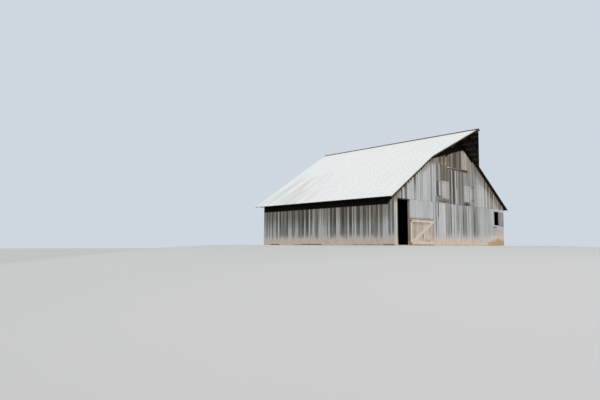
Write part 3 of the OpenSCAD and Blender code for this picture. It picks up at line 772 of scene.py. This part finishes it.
def gable_patches(u, z, number, tone, warmth):
    """Browned patches beside the drip board, dirt and painted shade at the drip board and the cleats, and
    marks at the hinges.
    """
    if -1.72 < u < -0.75:
        over = smooth(z, 3.50, 3.60) * below(z, DRIP_Z, DRIP_Z + 0.2)
        tone, warmth = toward(tone, warmth, 0.22 + 0.12 * number, 0.62, over)
    if -2.2 < u < -1.58:
        tone, warmth = toward(tone, warmth, 0.46 + 0.1 * number, 0.12, below(z, 2.62, 2.72))
    for start, end, low, high, stain in DIRT_AND_SHADE_BANDS:
        if start < u < end:
            share = 0.85 * smooth(z, low - 0.03, low + 0.01) * below(z, high - 0.01, high + 0.03)
            tone, warmth = toward(tone, warmth, stain, 0.6, share)
    if -1.85 < u < -1.70 and near_hinge(z, 0.075):
        return 0.12, warmth
    if 1.80 < u < 2.22 and near_hinge(z, 0.06):
        return 0.30, warmth
    return tone, warmth


def gable_look(u, z, numbers):
    """The gable: painted shadow above the hood's shade line, brown under the hood, strong stripes in the
    middle, grey towards the rakes.
    """
    a, b, _ = numbers
    # Painted shadow where the hood and the rakes keep the sun off
    if z > hood_shade(u):
        return PAINTED_SHADOW_TONE, 0.0, 0.0
    kind = strip_at(GABLE_STRIPS, u)
    tone, warmth = toned(kind or ("light" if a < 0.6 else "tan_dark"), b)
    if u < -3.4:
        tone, warmth = gable_left_end(u, roof_top(u) - z, kind, tone, warmth)
    elif u < -1.58:
        tone, warmth = gable_left_middle(u, z, a, kind, tone, warmth)
    elif u > 1.6:
        tone, warmth = gable_right_end(u, z, kind, tone, warmth)
    elif u > -0.75:
        if kind == "brown" and 0 < u < 0.2:
            tone, warmth = toward(tone, warmth, 0.8, 0.1, below(z, 3.1, 3.4))
        tone -= 0.05
        warmth += 0.08
    tone, warmth = under_hood(u, z, b, tone, warmth)
    return (*gable_patches(u, z, a, tone, warmth), 0.0)


def gable_marks(u):
    """Heights at which a gable board's look changes."""
    rings = [hood_shade(u) + off for off in (-0.42, -0.26, -0.16, -0.06, 0.025)]
    rings += [DRIP_Z + off for off in (-0.1, 0.02, 0.2)] + [3.1, 3.4, 3.48, 3.62]
    rings += [roof_top(u) - depth for depth in (0.3, 0.5, 0.8, 1.2)]
    for start, end, low, high, _ in DIRT_AND_SHADE_BANDS:
        if start < u < end:
            rings += [low - 0.03, low + 0.01, high - 0.01, high + 0.03]
    if -2.3 < u < 2.3:
        rings += [mark + off for mark in HINGE_MARKS for off in (-0.1, -0.05, 0.05, 0.1)]
    return rings


# Darker lower ends of the left wall's boards: from, to and how dark
DARK_LOWER_ENDS = ((0.0, 0.68, 0.9), (0.68, 2.75, 0.55), (4.9, 6.55, 1.0), (6.55, 7.2, 0.55), (8.5, 9.25, 1.0))


def dark_lower_end(u, z):
    """How dark the left wall's boards are at their lower ends."""
    for start, end, amount in DARK_LOWER_ENDS:
        if start < u < end:
            return amount * below(z, 0.045, 0.08)
    return 0.0


def left_look(u, z, numbers):
    """The left wall: painted shadow under the eave, dark and light boards side by side, paler near the
    ground.
    """
    # Painted shadow where the eave keeps the sun off
    if z > eave_shade(u):
        return PAINTED_SHADOW_TONE, 0.0, 0.0
    number = numbers[1]
    kind = strip_at(LEFT_STRIPS, u)
    tone, warmth = toned(kind, number, 0.18)
    down = below(z, 0.7, 1.8)
    if tone < 0.6:
        tone = blend(tone - 0.16, 0.44, 0.72 * down)
        warmth = blend(warmth + 0.30, 0.0, down)
    else:
        tone = blend(tone - 0.27, 0.90 if kind == "light" else 0.80, down)
        warmth = blend(warmth + 0.32, 0.0, down)
    near_ground = below(z, 0.20 + 0.20 * number, 0.46 + 0.20 * number)
    tone = blend(tone, 0.96, 0.92 * near_ground)
    warmth *= 1 - near_ground
    foot_dark = dark_lower_end(u, z)
    soil = ground_soil(z, 0.68, 0.80, 0.12) * (1 - 0.85 * foot_dark)
    return (*toward(tone, warmth, 0.05, 0.5, foot_dark), soil)


def left_marks(u):
    """Heights at which the look of a board of the left wall changes."""
    line = eave_shade(u)
    return [line - 0.025, line + 0.025, 1.2, 1.7, 0.8, 0.045, 0.42, 0.6, *GROUND_MARKS]


def plain_look(u, z, numbers):
    """The two walls that the photograph doesn't show repeat the greys of the others."""
    a, b, _ = numbers
    kind = ("dark", "tan_dark", "mid", "soft", "light", "light", "pale", "soft")[int(a * 7.99)]
    tone, warmth = toned(kind, b, 0.18)
    near_ground = below(z, 0.35, 0.85)
    tone = blend(tone, 0.88, 0.8 * near_ground)
    return tone, warmth * (1 - near_ground), ground_soil(z, 0.7, 0.6)


def corner_look(u, z, numbers):
    """The narrow boards left of the open doorway: pale grey, cream and a brown edge, with painted shadow
    above the rake's shade line and painted shade of the rake at their top.
    """
    # Painted shadow where the rake keeps the sun off
    if z > hood_shade(u):
        return PAINTED_SHADOW_TONE, 0.0, 0.0
    if u < CORNER_CREAM:
        tone, warmth = 0.80, 0.0
    elif u < CORNER_BROWN:
        tone, warmth = 1.10, 0.80
    else:
        tone, warmth = 0.18, 1.0
    # Darker and browner at the top: painted shade of the rake
    top = smooth(z, 2.0, 2.3)
    return tone - 0.35 * top, warmth + 0.35 * top, ground_soil(z, 0.9, 0.45)


def post_look(u, z, numbers):
    """The board on the post between the doorways: grey, stained in its middle, brown at its right edge, with
    painted shade at its top.
    """
    # Painted shade at the top of the post
    if z > 2.2:
        return 0.05, 0.3, 0.0
    low_down = below(z, 1.28, 1.42)
    if u < POST_STAIN:
        return 0.36, 0.30, ground_soil(z, 0.4, 0.3)
    if u < POST_BROWN:
        return 0.40 + 0.16 * low_down, 0.25 + 0.75 * low_down, ground_soil(z, 0.4, 0.3)
    return blend(0.26, 0.04, low_down), 0.6 + 0.4 * low_down, 0.0


def door_look(u, z, numbers):
    """The boards of the half door: darker under the top rail with painted shade, with orange soil low at the
    right.
    """
    a, b, _ = numbers
    # Painted shade under the top rail
    rail_shadow = smooth(z, 1.03, 1.10)
    low_right = smooth(u, HALF_DOOR[0] + 1.1, HALF_DOOR[0] + 1.3) * below(u, -2.9, -2.6)
    orange = below(z, 0.25, 0.65) * low_right
    soil = max(ground_soil(z, 1.0, 0.46), 1.6 * orange)
    return 0.50 + 0.34 * a - 0.18 * rail_shadow, 0.35 * b + 0.2 * rail_shadow, soil


def edge_board_look(u, z, numbers):
    """The pale board at the half door's hinge side."""
    return 1.05, 0.15, ground_soil(z, 0.7, 0.4)


def window_shutter_look(u, z, numbers):
    """The open shutter at the window: an even grey."""
    return 0.50 + 0.1 * numbers[0], 0.05, 0.0


def left_shutter_look(u, z, numbers):
    """The left hay shutter is darker at its left edge and a little darker at its right."""
    if u < LEFT_SHUTTER[0]:
        return 0.42, 0.15, 0.0
    return (0.66 if u < LEFT_SHUTTER[1] else 0.50), 0.0, 0.0


def right_shutter_look(u, z, numbers):
    """The right hay shutter has a dark joint between its boards and the strip at its right."""
    if u < SHUTTER_GAP[0]:
        return 0.50 + 0.18 * numbers[0], 0.0, 0.0
    if u < SHUTTER_GAP[1]:
        return 0.22, 0.3, 0.0
    return 0.86, 0.35, 0.0


# Heights of the rows of nails
LOW_ROWS = (0.21, 1.2, 2.18)
GABLE_ROWS = (3.7, 4.8)
# The runs of boards above the lower course: left of the ridge beam, under it and right of it
UPPER_RUNS = (
    (WALL_LEFT_U, -NOTCH_HALF, COURSE_Z, lath_under),
    (-NOTCH_HALF, NOTCH_HALF, COURSE_Z, flat(BEAM_LOW.z)),
    (NOTCH_HALF, WALL_RIGHT_U, COURSE_Z, lath_under)
)


def hole_in(name, lap):
    """The hole in the front wall behind a node that laps over its edges."""
    low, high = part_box(name)
    return low.x - RIDGE_X + lap, high.x - RIDGE_X - lap, low.z + lap, high.z - lap


def front_wall():
    """The three parts of the front wall's lower course."""
    top = flat(COURSE_Z)
    boarded(
        FRONT, WALL_LEFT_U, CORNER_END, 0.0, top, corner_look, 11, (0.14, 0.2),
        (CORNER_CREAM, CORNER_BROWN), rough_low=0.012, rough_high=0.004,
        marks=GROUND_MARKS + (1.9, 2.1, 2.25)
    ).piece("front_corner_boards", "front_corner_panel", "pale_boards")
    start, end = span_of("over_door_panel")
    boarded(
        FRONT, start, end, HALF_DOOR_TOP, top, front_low_look, 12, (0.2, 0.3),
        rough_low=0.012, rough_high=0.004, nail_rows=(1.43, 2.27), worn=0.35,
        marks=[HALF_DOOR_TOP + rise for rise in (0.03, 0.07, 0.10, 0.14)]
    ).piece("over_door_boards", "over_door_panel")
    boarded(
        FRONT, end, WALL_RIGHT_U, 0.0, top, front_low_look, 13, (0.13, 0.24),
        strip_edges(LOW_STRIPS), [hole_in("window_frame", 0.05)], rough_low=0.014, rough_high=0.005,
        marks=GROUND_MARKS + (1.7, 2.0, 2.25), nail_rows=LOW_ROWS
    ).piece("front_right_boards", "front_right_panel")


def front_gable():
    """The gable's boards, shorter under the ridge beam."""
    wide = {
        "widths": (0.13, 0.24), "fixed": strip_edges(GABLE_STRIPS, HOOD_STRIPS),
        "holes": [hole_in(name, 0.03) for name in ("hay_shutter_left", "hay_shutter_right")],
        "rough_low": 0.007, "nail_rows": (COURSE_Z + 0.06, *GABLE_ROWS)
    }
    narrow = {"widths": (0.04, 0.06), "rough_low": 0.006}
    shape = Shape()
    for run, seed, settings in zip(UPPER_RUNS, (21, 22, 23), (wide, narrow, wide)):
        boarded(FRONT, *run, gable_look, seed, marks=gable_marks, shape=shape, **settings)
    shape.piece("front_gable_boards", "front_gable")


def post_board():
    """The board on the post between the two doorways."""
    stained = board_wood("jamb_wood", warm=((0.140, 0.084, 0.036), (0.375, 0.262, 0.140)))
    boarded(
        FRONT, *DOOR_POST, 0.0, flat(COURSE_Z), post_look, 14, (0.04, 0.08), (POST_STAIN, POST_BROWN),
        marks=(0.3, 1.28, 1.42, 2.17, 2.23), nail_rows=(0.3, 1.5, 2.0)
    ).piece("door_post_plank", "door_post_board", "jamb_wood", [stained, INNER_PAINTED_SHADE, NAIL_RUST])


def side_walls():
    """The left and right walls."""
    start, end = [corner.y - FRONT_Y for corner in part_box("left_wall")]
    for node, wall, look, seed, fixed, marks in (
        ("left_wall", LEFT, left_look, 31, strip_edges(LEFT_STRIPS), left_marks),
        ("right_wall", RIGHT, plain_look, 32, (), GROUND_MARKS)
    ):
        boarded(
            wall, start, end, 0.0, flat(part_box(node)[1].z), look, seed, (0.10, 0.19), fixed,
            rough_low=0.016, marks=marks, nail_rows=LOW_ROWS
        ).piece(node + "_boards", node)


def back_wall():
    """The back wall, in two courses as at the front."""
    shape = boarded(
        BACK, WALL_LEFT_U, WALL_RIGHT_U, 0.0, flat(COURSE_Z), plain_look, 41, (0.14, 0.28),
        rough_low=0.016, rough_high=0.006, marks=GROUND_MARKS, nail_rows=LOW_ROWS
    )
    for run, seed in zip(UPPER_RUNS, (42, 43, 44)):
        boarded(
            BACK, *run, plain_look, seed, (0.14, 0.28),
            rough_low=0.016, nail_rows=(2.38, *GABLE_ROWS), shape=shape
        )
    shape.piece("back_wall_boards", "back_wall")


def loose_boxes(node):
    """The boxes of a node's separate solids, from left to right."""
    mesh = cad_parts[node].data
    places = [tuple(vertex.co) for vertex in mesh.vertices]
    solids = []
    for edge in mesh.edges:
        joined = {places[i] for i in edge.vertices}
        for other in [solid for solid in solids if solid & joined]:
            solids.remove(other)
            joined |= other
        solids.append(joined)
    boxes = [
        [Vector([pick(p[k] for p in solid) for k in range(3)]) for pick in (min, max)] for solid in solids
    ]
    return sorted(boxes, key=lambda box: (round(box[0].x, 4), box[0].z))


# The lengths into which a sawn piece is cut, and its softened edge
PLANK_STEP = 0.18
PLANK_CHAMFER = 0.004


def plank(shape, low, high, look, rng, worn=0.002):
    """A sawn piece that fills a box, cut into short lengths, with softened edges and worn faces."""
    size = high - low
    long = max(range(3), key=lambda k: size[k])
    wide, thick = [k for k in range(3) if k != long]
    count = max(2, int(size[long] / PLANK_STEP))
    seed = rng.random()
    points, looks = [], []
    for n in range(count + 1):
        share = n / count
        cut = [rng.uniform(0, worn) for _ in range(4)]
        w0, w1 = low[wide] + cut[0], high[wide] - cut[1]
        t0, t1 = low[thick] + cut[2], high[thick] - cut[3]
        c = min(PLANK_CHAMFER, (w1 - w0) / 4, (t1 - t0) / 4)
        for w, t in (
            (w0 + c, t0), (w1 - c, t0), (w1, t0 + c), (w1, t1 - c),
            (w1 - c, t1), (w0 + c, t1), (w0, t1 - c), (w0, t0 + c)
        ):
            point = Vector((0, 0, 0))
            point[long] = low[long] + size[long] * share
            point[wide] = w
            point[thick] = t
            points.append(point)
            looks.append((*look(point), seed))
    faces = tube(count + 1, 8)
    shape.add(points, faces, [0] * len(faces), looks)


def rail_look(point):
    """The rails of the half door: pale, with painted shade along the top of the upper one and the dirt of the
    ground on the lower one.
    """
    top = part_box("half_door")[1].z
    # Darker and browner along the top of the upper rail: painted shade
    hem = smooth(point.z, top - 0.03, top - 0.01)
    return 0.88 - 0.2 * hem, 0.12 + 0.4 * hem, ground_soil(point.z, 1.0, 0.5)


def half_door():
    """The leaf of the half door, with the missing strip between two boards, and its rails."""
    low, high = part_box("half_door")
    slit_x, slit_half = HALF_DOOR[0] + 1.125, 0.028
    slit = (slit_x - slit_half, slit_x + slit_half, low.z + 0.21, low.z + 0.67)
    edge = HALF_DOOR[0] + 0.10
    top = flat(high.z)
    leaf = boarded(
        FRONT, edge, HALF_DOOR[1], low.z, top, door_look, 51, (0.12, 0.19),
        holes=[slit], marks=(0.15, 0.25, 0.4, 0.6, 1.03, 1.10), rough_low=0.006
    )
    leaf.piece("half_door_boards", "half_door", "door_boards", [DOOR_WOOD, INNER_PAINTED_SHADE, NAIL_RUST], "half_door")
    edge_board = boarded(
        FRONT, HALF_DOOR[0], edge, low.z, top, edge_board_look, 52, (0.09, 0.11), marks=(0.15, 0.25, 0.4)
    )
    edge_board.piece("half_door_edge_board", "half_door", "pale_boards", PALE_MATERIALS, "half_door")
    rng = random.Random(53)
    rails = Shape()
    for box in loose_boxes("half_door_rails"):
        plank(rails, *box, rail_look, rng)
    rails.piece("half_door_rail_boards", "half_door_rails", "door_boards", [RAIL_WOOD], "half_door")


def shutters():
    """The two closed hay shutters and the open one at the window."""
    face_out = wall_plane((RIDGE_X, FRONT_Y - BOARD_T, 0), (1, 0, 0), (0, 1, 0))
    for node, seed, slot, materials, look, fixed in (
        ("hay_shutter_left", 61, "pale_boards", PALE_MATERIALS, left_shutter_look, LEFT_SHUTTER),
        ("hay_shutter_right", 62, "pale_boards", PALE_MATERIALS, right_shutter_look, SHUTTER_GAP),
        ("window_shutter", 63, "weathered_boards", WALL_MATERIALS, window_shutter_look, ())
    ):
        low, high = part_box(node)
        boarded(
            face_out, *span_of(node), low.z, flat(high.z), look, seed, (0.18, 0.26), fixed,
            nail_rows=(low.z + 0.1, high.z - 0.1)
        ).piece(node + "_boards", node, slot, materials)


def trim_look(point):
    """The batten is pale above its lower hinge; the drip board and the cleats are brown-grey."""
    u = point.x - RIDGE_X
    if u < HAY_LEFT[0].x - RIDGE_X - 0.01 and point.z > HAY_LEFT[0].z + 0.02:
        if near_hinge(point.z, 0.08):
            return 0.10, 0.2, 0.0
        if point.z > HINGE_MARKS[1]:
            return 0.70, 0.5, 0.0
        return (1.05, 0.5, 0.0) if point.z > HINGE_MARKS[0] else (0.50, 0.1, 0.0)
    if point.z > HAY_LEFT[1].z + 0.2:
        pale = below(u, -0.80, -0.62)
        dark = smooth(u, 0.45, 0.75)
        return 0.34 - 0.32 * dark + 0.64 * pale, 0.55 - 0.3 * dark, 0.0
    return 0.24 + 0.16 * math.sin(31 * u), 0.75, 0.0


def hay_trim():
    """The batten, drip board and cleats round the hay shutters, and the cleat under the window."""
    rng = random.Random(64)
    for node, name, look in (
        ("hay_trim", "hay_trim_boards", trim_look),
        ("window_cleat", "window_cleat_board", lambda point: (0.45, 1.4, 0.35))
    ):
        shape = Shape()
        for box in loose_boxes(node):
            plank(shape, *box, look, rng, 0.003)
        shape.piece(name, node, "shaded_wood", [WOOD])


# Roof metal: flat pans with pairs of ribs at the laps, one rib between and a rim without ribs or nails.
# An upper sheet lies on a lower one.
SHEET_W = 0.61
RIB_HALF = 0.022
RIB_H = 0.007
LAP_W = 0.045
RIM_W = 0.05
SHEET_REST = 0.0046
SHEET_T = 0.0012
LOWER_SHEET = 3.05
LAP_STEP = 0.004
LAP_DROP = 0.0009
SHEET_LOOK = (0.5, 0.0, 0.0, 0.5)
NAIL_LINES = 17


def rib_profile(start, end):
    """Places along the ridge with the metal's height there, and the middles of the ribs."""
    ribs = []
    y = start + RIM_W
    while y < end - RIM_W:
        ribs += [y, y + LAP_W, y + LAP_W + (SHEET_W - LAP_W) / 2]
        y += SHEET_W
    places = {(start, 0.0), (ROOF_FRONT_Y, 0.0), (end, 0.0)}
    for rib in ribs:
        if rib < end - 0.04:
            places |= {(rib - RIB_HALF, 0.0), (rib, RIB_H), (rib + RIB_HALF, 0.0)}
    return sorted(places), ribs


def hood_share(y):
    """How far out the hood reaches at a place along the ridge, from 0 at its tip to 1 at the rake."""
    return (y - TIP_Y) / (ROOF_FRONT_Y - TIP_Y)


def roof_sheets(side, name, node):
    """One slope of ribbed sheets, cut along the hood's edge."""
    eave = EAVE[side]
    profile, ribs = rib_profile(TIP_Y, ROOF_BACK_Y)
    lap = eave - LOWER_SHEET
    hood_rows = [HOOD_HALF * share for share in (0.0, 0.05, 0.06, 0.3, 0.6, 1.0)]
    side_rows = [HOOD_HALF + (eave - HOOD_HALF) * i / 6 for i in range(1, 7)]
    rows = sorted(hood_rows + side_rows + [lap, lap + LAP_STEP])
    shape = Shape()
    index = {}

    def height(s, rib):
        """Height of the metal at s down the slope; the lower sheet lies under the upper one."""
        dropped = 0.0 if s <= lap else LAP_DROP
        return roof_top(s) - SHEET_REST + SHEET_T + rib * smooth(s, 0.15, 0.17) - dropped

    def vertex(row, share, y, rib, under):
        key = (round(row, 5), round(y, 5), under)
        if key not in index:
            index[key] = len(shape.points)
            s = row * share
            z = height(s, rib) - (SHEET_T if under else 0)
            shape.points.append(Vector((RIDGE_X + side * s, y, z)))
            shape.looks.append(SHEET_LOOK)
        return index[key]

    for (ya, ra), (yb, rb) in zip(profile, profile[1:]):
        in_hood = yb <= ROOF_FRONT_Y + 1e-6
        fa, fb = (hood_share(ya), hood_share(yb)) if in_hood else (1.0, 1.0)
        lines = hood_rows if in_hood else rows
        for upper, lower in zip(lines, lines[1:]):
            for under in (0, 1):
                shape.faces.append((
                    vertex(upper, fa, ya, ra, under), vertex(upper, fb, yb, rb, under),
                    vertex(lower, fb, yb, rb, under), vertex(lower, fa, ya, ra, under)
                ))
                shape.slots.append(under)
    tip = round(TIP_Y, 5)
    add_rims(shape, {
        top: index[row, y, 1] for (row, y, under), top in index.items() if y > tip and not under
    })
    for y in ribs:
        limit = eave if y > ROOF_FRONT_Y else HOOD_HALF * hood_share(y)
        for n in range(NAIL_LINES):
            s = 0.17 + n * (eave - 0.3) / (NAIL_LINES - 1)
            if s < limit - RIM_W and y < ROOF_BACK_Y - RIM_W:
                roof_nail(shape, side, s, y, height(s, RIB_H))
    shape.piece(name, node, "roof_metal", [ROOF, SHEET_BACK_PAINTED_SHADE, ROOF_NAIL])


def add_rims(shape, under_of):
    """Closes a sheet along its open edges, from its top to its underside."""
    uses = {}
    for face in [face for face, slot in zip(shape.faces, shape.slots) if slot == 0]:
        for a, b in zip(face, face[1:] + face[:1]):
            uses.setdefault(frozenset((a, b)), []).append((a, b))
    for (a, b), *others in uses.values():
        if not others and a in under_of and b in under_of:
            shape.faces.append((b, a, under_of[a], under_of[b]))
            shape.slots.append(0)


def roof_nail(shape, side, s, y, z):
    """A domed nail on a rib."""
    radius, depth, rise = 0.009, 0.004, 0.004
    normal = Vector((side * math.sin(PITCH), 0, math.cos(PITCH)))
    down = Vector((side * math.cos(PITCH), 0, -math.sin(PITCH)))
    centre = Vector((RIDGE_X + side * s, y, z))
    spokes = [down * part + Vector((0, along, 0)) for part, along in HEAD_RING]
    low = [centre + spoke * radius - normal * depth for spoke in spokes]
    high = [centre + spoke * radius * 0.9 + normal * 0.0015 for spoke in spokes]
    stud(shape, low, high, centre + normal * rise, SHEET_LOOK)


def ridge_cap():
    """A folded cap with turned-down edges, in lapped lengths with a few dents."""
    low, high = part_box("ridge_cap")
    leg = high.x - RIDGE_X
    laps, columns = 4, 9
    lap, rise = 0.08, 0.0016
    thick, lift = 0.0015, 0.0002
    section = [
        (-leg, roof_top(leg) - 0.002), (-leg + 0.006, roof_top(leg - 0.006)), (0.0, RIDGE_Z),
        (leg - 0.006, roof_top(leg - 0.006)), (leg, roof_top(leg) - 0.002)
    ]
    size = 2 * len(section)
    last = (columns - 1) * size
    ends = [(i, i + 1, size - 2 - i, size - 1 - i) for i in range(len(section) - 1)]
    faces = tube(columns, size, False) + ends
    faces += [tuple(last + i for i in reversed(face)) for face in ends]
    rng = random.Random(71)
    shape = Shape()
    length = (high.y - low.y) / laps
    for n in range(laps):
        start = low.y + n * length
        end = min(high.y, start + length + (lap if n < laps - 1 else 0))
        raise_by = rise if n % 2 else 0.0
        points = []
        for k in range(columns):
            y = start + (end - start) * k / (columns - 1)
            dents = [rng.uniform(-0.0006, 0.0006) for _ in section]
            upper = [
                Vector((RIDGE_X + x, y, z + lift + thick + raise_by + max(0, dent)))
                for (x, z), dent in zip(section, dents)
            ]
            points += upper + [p - Vector((0, 0, thick)) for p in reversed(upper)]
        shape.add(points, faces, [0] * len(faces), [SHEET_LOOK] * len(points))
    shape.piece("ridge_cap_sheet", "ridge_cap", "ridge_metal", [RIDGE_METAL])


def dress_nodes():
    """Materials and worn edges for the nodes that stay as they are."""
    quarter = math.pi / 2
    along_x, along_y = (0, quarter, 0), (quarter, 0, 0)
    beam = ((0.070, 0.055, 0.041), (0.026, 0.021, 0.016))
    # Painted shade: the rafters are near-black
    dark = ((0.030, 0.025, 0.020), (0.012, 0.010, 0.008))
    timbers = (
        ("beam_upright", *beam, (0, 0, 0),
         ("side_posts", "end_posts", "gable_posts", "doorway_jamb", "half_door_post")),
        ("beam_along_x", *beam, along_x, ("tie_beams", "front_girts", "back_girts", "window_frame")),
        ("beam_along_y", *beam, along_y, ("ground_sills", "top_plates", "side_girts", "ridge_beam")),
        ("rafter_left", *dark, (0, quarter + PITCH, 0), ("left_rafters",)),
        ("rafter_right", *dark, (0, quarter - PITCH, 0), ("right_rafters",)),
        # Painted shade: the hood's rafters are near-black
        ("hood_beam", (0.012, 0.010, 0.008), (0.006, 0.005, 0.004), along_x, ("hood_rafters",)),
        ("brace_wood", (0.60, 0.570, 0.530), (0.46, 0.425, 0.385), (0, math.radians(65), 0),
         ("half_door_brace",)),
        ("sill_wood", (0.46, 0.38, 0.30), (0.26, 0.20, 0.145), along_x, ("thresholds",))
    )
    lath = plain_wood("lath_wood", (0.195, 0.160, 0.120), (0.082, 0.068, 0.053), along_y)
    rake = rake_wood((0.230, 0.180, 0.130), (0.115, 0.087, 0.062))
    iron = metal("rusty_iron", (0.075, 0.062, 0.055), (0.16, 0.082, 0.047), 0.7)
    dusty = metal("dusty_iron", (0.30, 0.30, 0.295), (0.15, 0.115, 0.09), 0.75, (0.48, 0.66), 12.0)
    finishes = [(plain_wood(*settings), 0.004, names) for *settings, names in timbers]
    finishes += [
        (post_wood(), 0.004, ("door_post",)),
        (lath, 0.003, ("left_laths", "right_laths")),
        (rake, 0.004, ("front_rake_boards", "back_rake_boards", "hood_edge_boards")),
        (iron, 0.0012, ("half_door_straps", "door_pintles")),
        (dusty, 0.0012, ("shutter_hinges",))
    ]
    for material, width, names in finishes:
        for name in names:
            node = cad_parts[name]
            for slot in node.material_slots:
                slot.material = material
            bevel = node.modifiers.new("worn_edges", "BEVEL")
            bevel.width = width
            bevel.segments = 1
            bevel.limit_method = "ANGLE"
            bevel.angle_limit = math.radians(40)


def pale_ground():
    """A pale floor: level round the building, then falling gently as the ground in the photograph does."""
    low, high = CAD_BOX
    half = ((high[0] - low[0]) / 2, (high[1] - low[1]) / 2)
    outside = [1.0 + 23 * (i / 20) for i in range(21)] + [40, 80, 200]
    lines = []
    for size in half:
        inside = [size * i / 4 for i in range(-4, 5)]
        lines.append([-size - d for d in reversed(outside)] + inside + [size + d for d in outside])
    points = []
    for x in lines[0]:
        for y in lines[1]:
            away = math.hypot(max(0, abs(x) - half[0]), max(0, abs(y) - half[1]))
            points.append((x, y, -0.003 - 1.75 * smooth(away, 1.0, 24.0)))
    row = len(lines[1])
    corners = [i * row + j for i in range(len(lines[0]) - 1) for j in range(row - 1)]
    mesh = bpy.data.meshes.new("floor")
    mesh.from_pydata(points, [], [(at, at + row, at + row + 1, at + 1) for at in corners])
    for face in mesh.polygons:
        face.use_smooth = True
    tree = material_tree("floor_pale", 0.95, 0.1)
    seen = tree.node("LightPath", out="Is Camera Ray")
    mesh.materials.append(tree.finish(tree.mix(seen, (0.15, 0.15, 0.145), (0.80, 0.80, 0.79))))
    placed("floor", mesh)


def pale_world():
    """A soft even light, and a pale backdrop where the camera sees it."""
    world = bpy.data.worlds.new("studio")
    bpy.context.scene.world = world
    tree = Tree(world, "Background")
    rays = [tree.node("LightPath", out=name) for name in ("Is Camera Ray", "Is Glossy Ray")]
    seen = tree.sum(*rays, clamp=True)
    tree.put(tree.shader.inputs["Color"], tree.mix(seen, (0.20, 0.215, 0.235), (0.62, 0.68, 0.74)))


def sun_light():
    """One key light from the front left, as the shadows in the photograph fall."""
    lamp = bpy.data.lights.new("key", "SUN")
    lamp.energy = 3.6
    lamp.angle = math.radians(2.5)
    lamp.color = (1.0, 0.985, 0.96)
    placed("key", lamp).rotation_euler = SUN.to_track_quat("-Z", "Y").to_euler()


def camera():
    """The camera of the photograph, at the height of the building's foot."""
    place = Vector((RIDGE_X - 25.8419, FRONT_Y - 14.0146, 0.002))
    yaw, pitch, roll = 0.7646, 0.0914, 0.0031
    forward = Vector((math.sin(yaw) * math.cos(pitch), math.cos(yaw) * math.cos(pitch), math.sin(pitch)))
    right = Vector((math.cos(yaw), -math.sin(yaw), 0))
    up = right.cross(forward)
    side = right * math.cos(roll) + up * math.sin(roll)
    head = up * math.cos(roll) - right * math.sin(roll)
    lens = bpy.data.cameras.new("camera")
    lens.sensor_fit = "HORIZONTAL"
    lens.sensor_width = 36.0
    lens.lens = 29.45
    lens.clip_end = 500
    made = placed("camera", lens)
    made.matrix_world = Matrix.Translation(place) @ Matrix((side, head, -forward)).transposed().to_4x4()
    bpy.context.scene.camera = made


front_wall()
front_gable()
post_board()
side_walls()
back_wall()
half_door()
shutters()
hay_trim()
roof_sheets(-1, "roof_sheets_left", "roof_left")
roof_sheets(1, "roof_sheets_right", "roof_right")
ridge_cap()
dress_nodes()
pale_ground()
pale_world()
sun_light()
camera()
bpy.context.scene.view_settings.view_transform = "Standard"
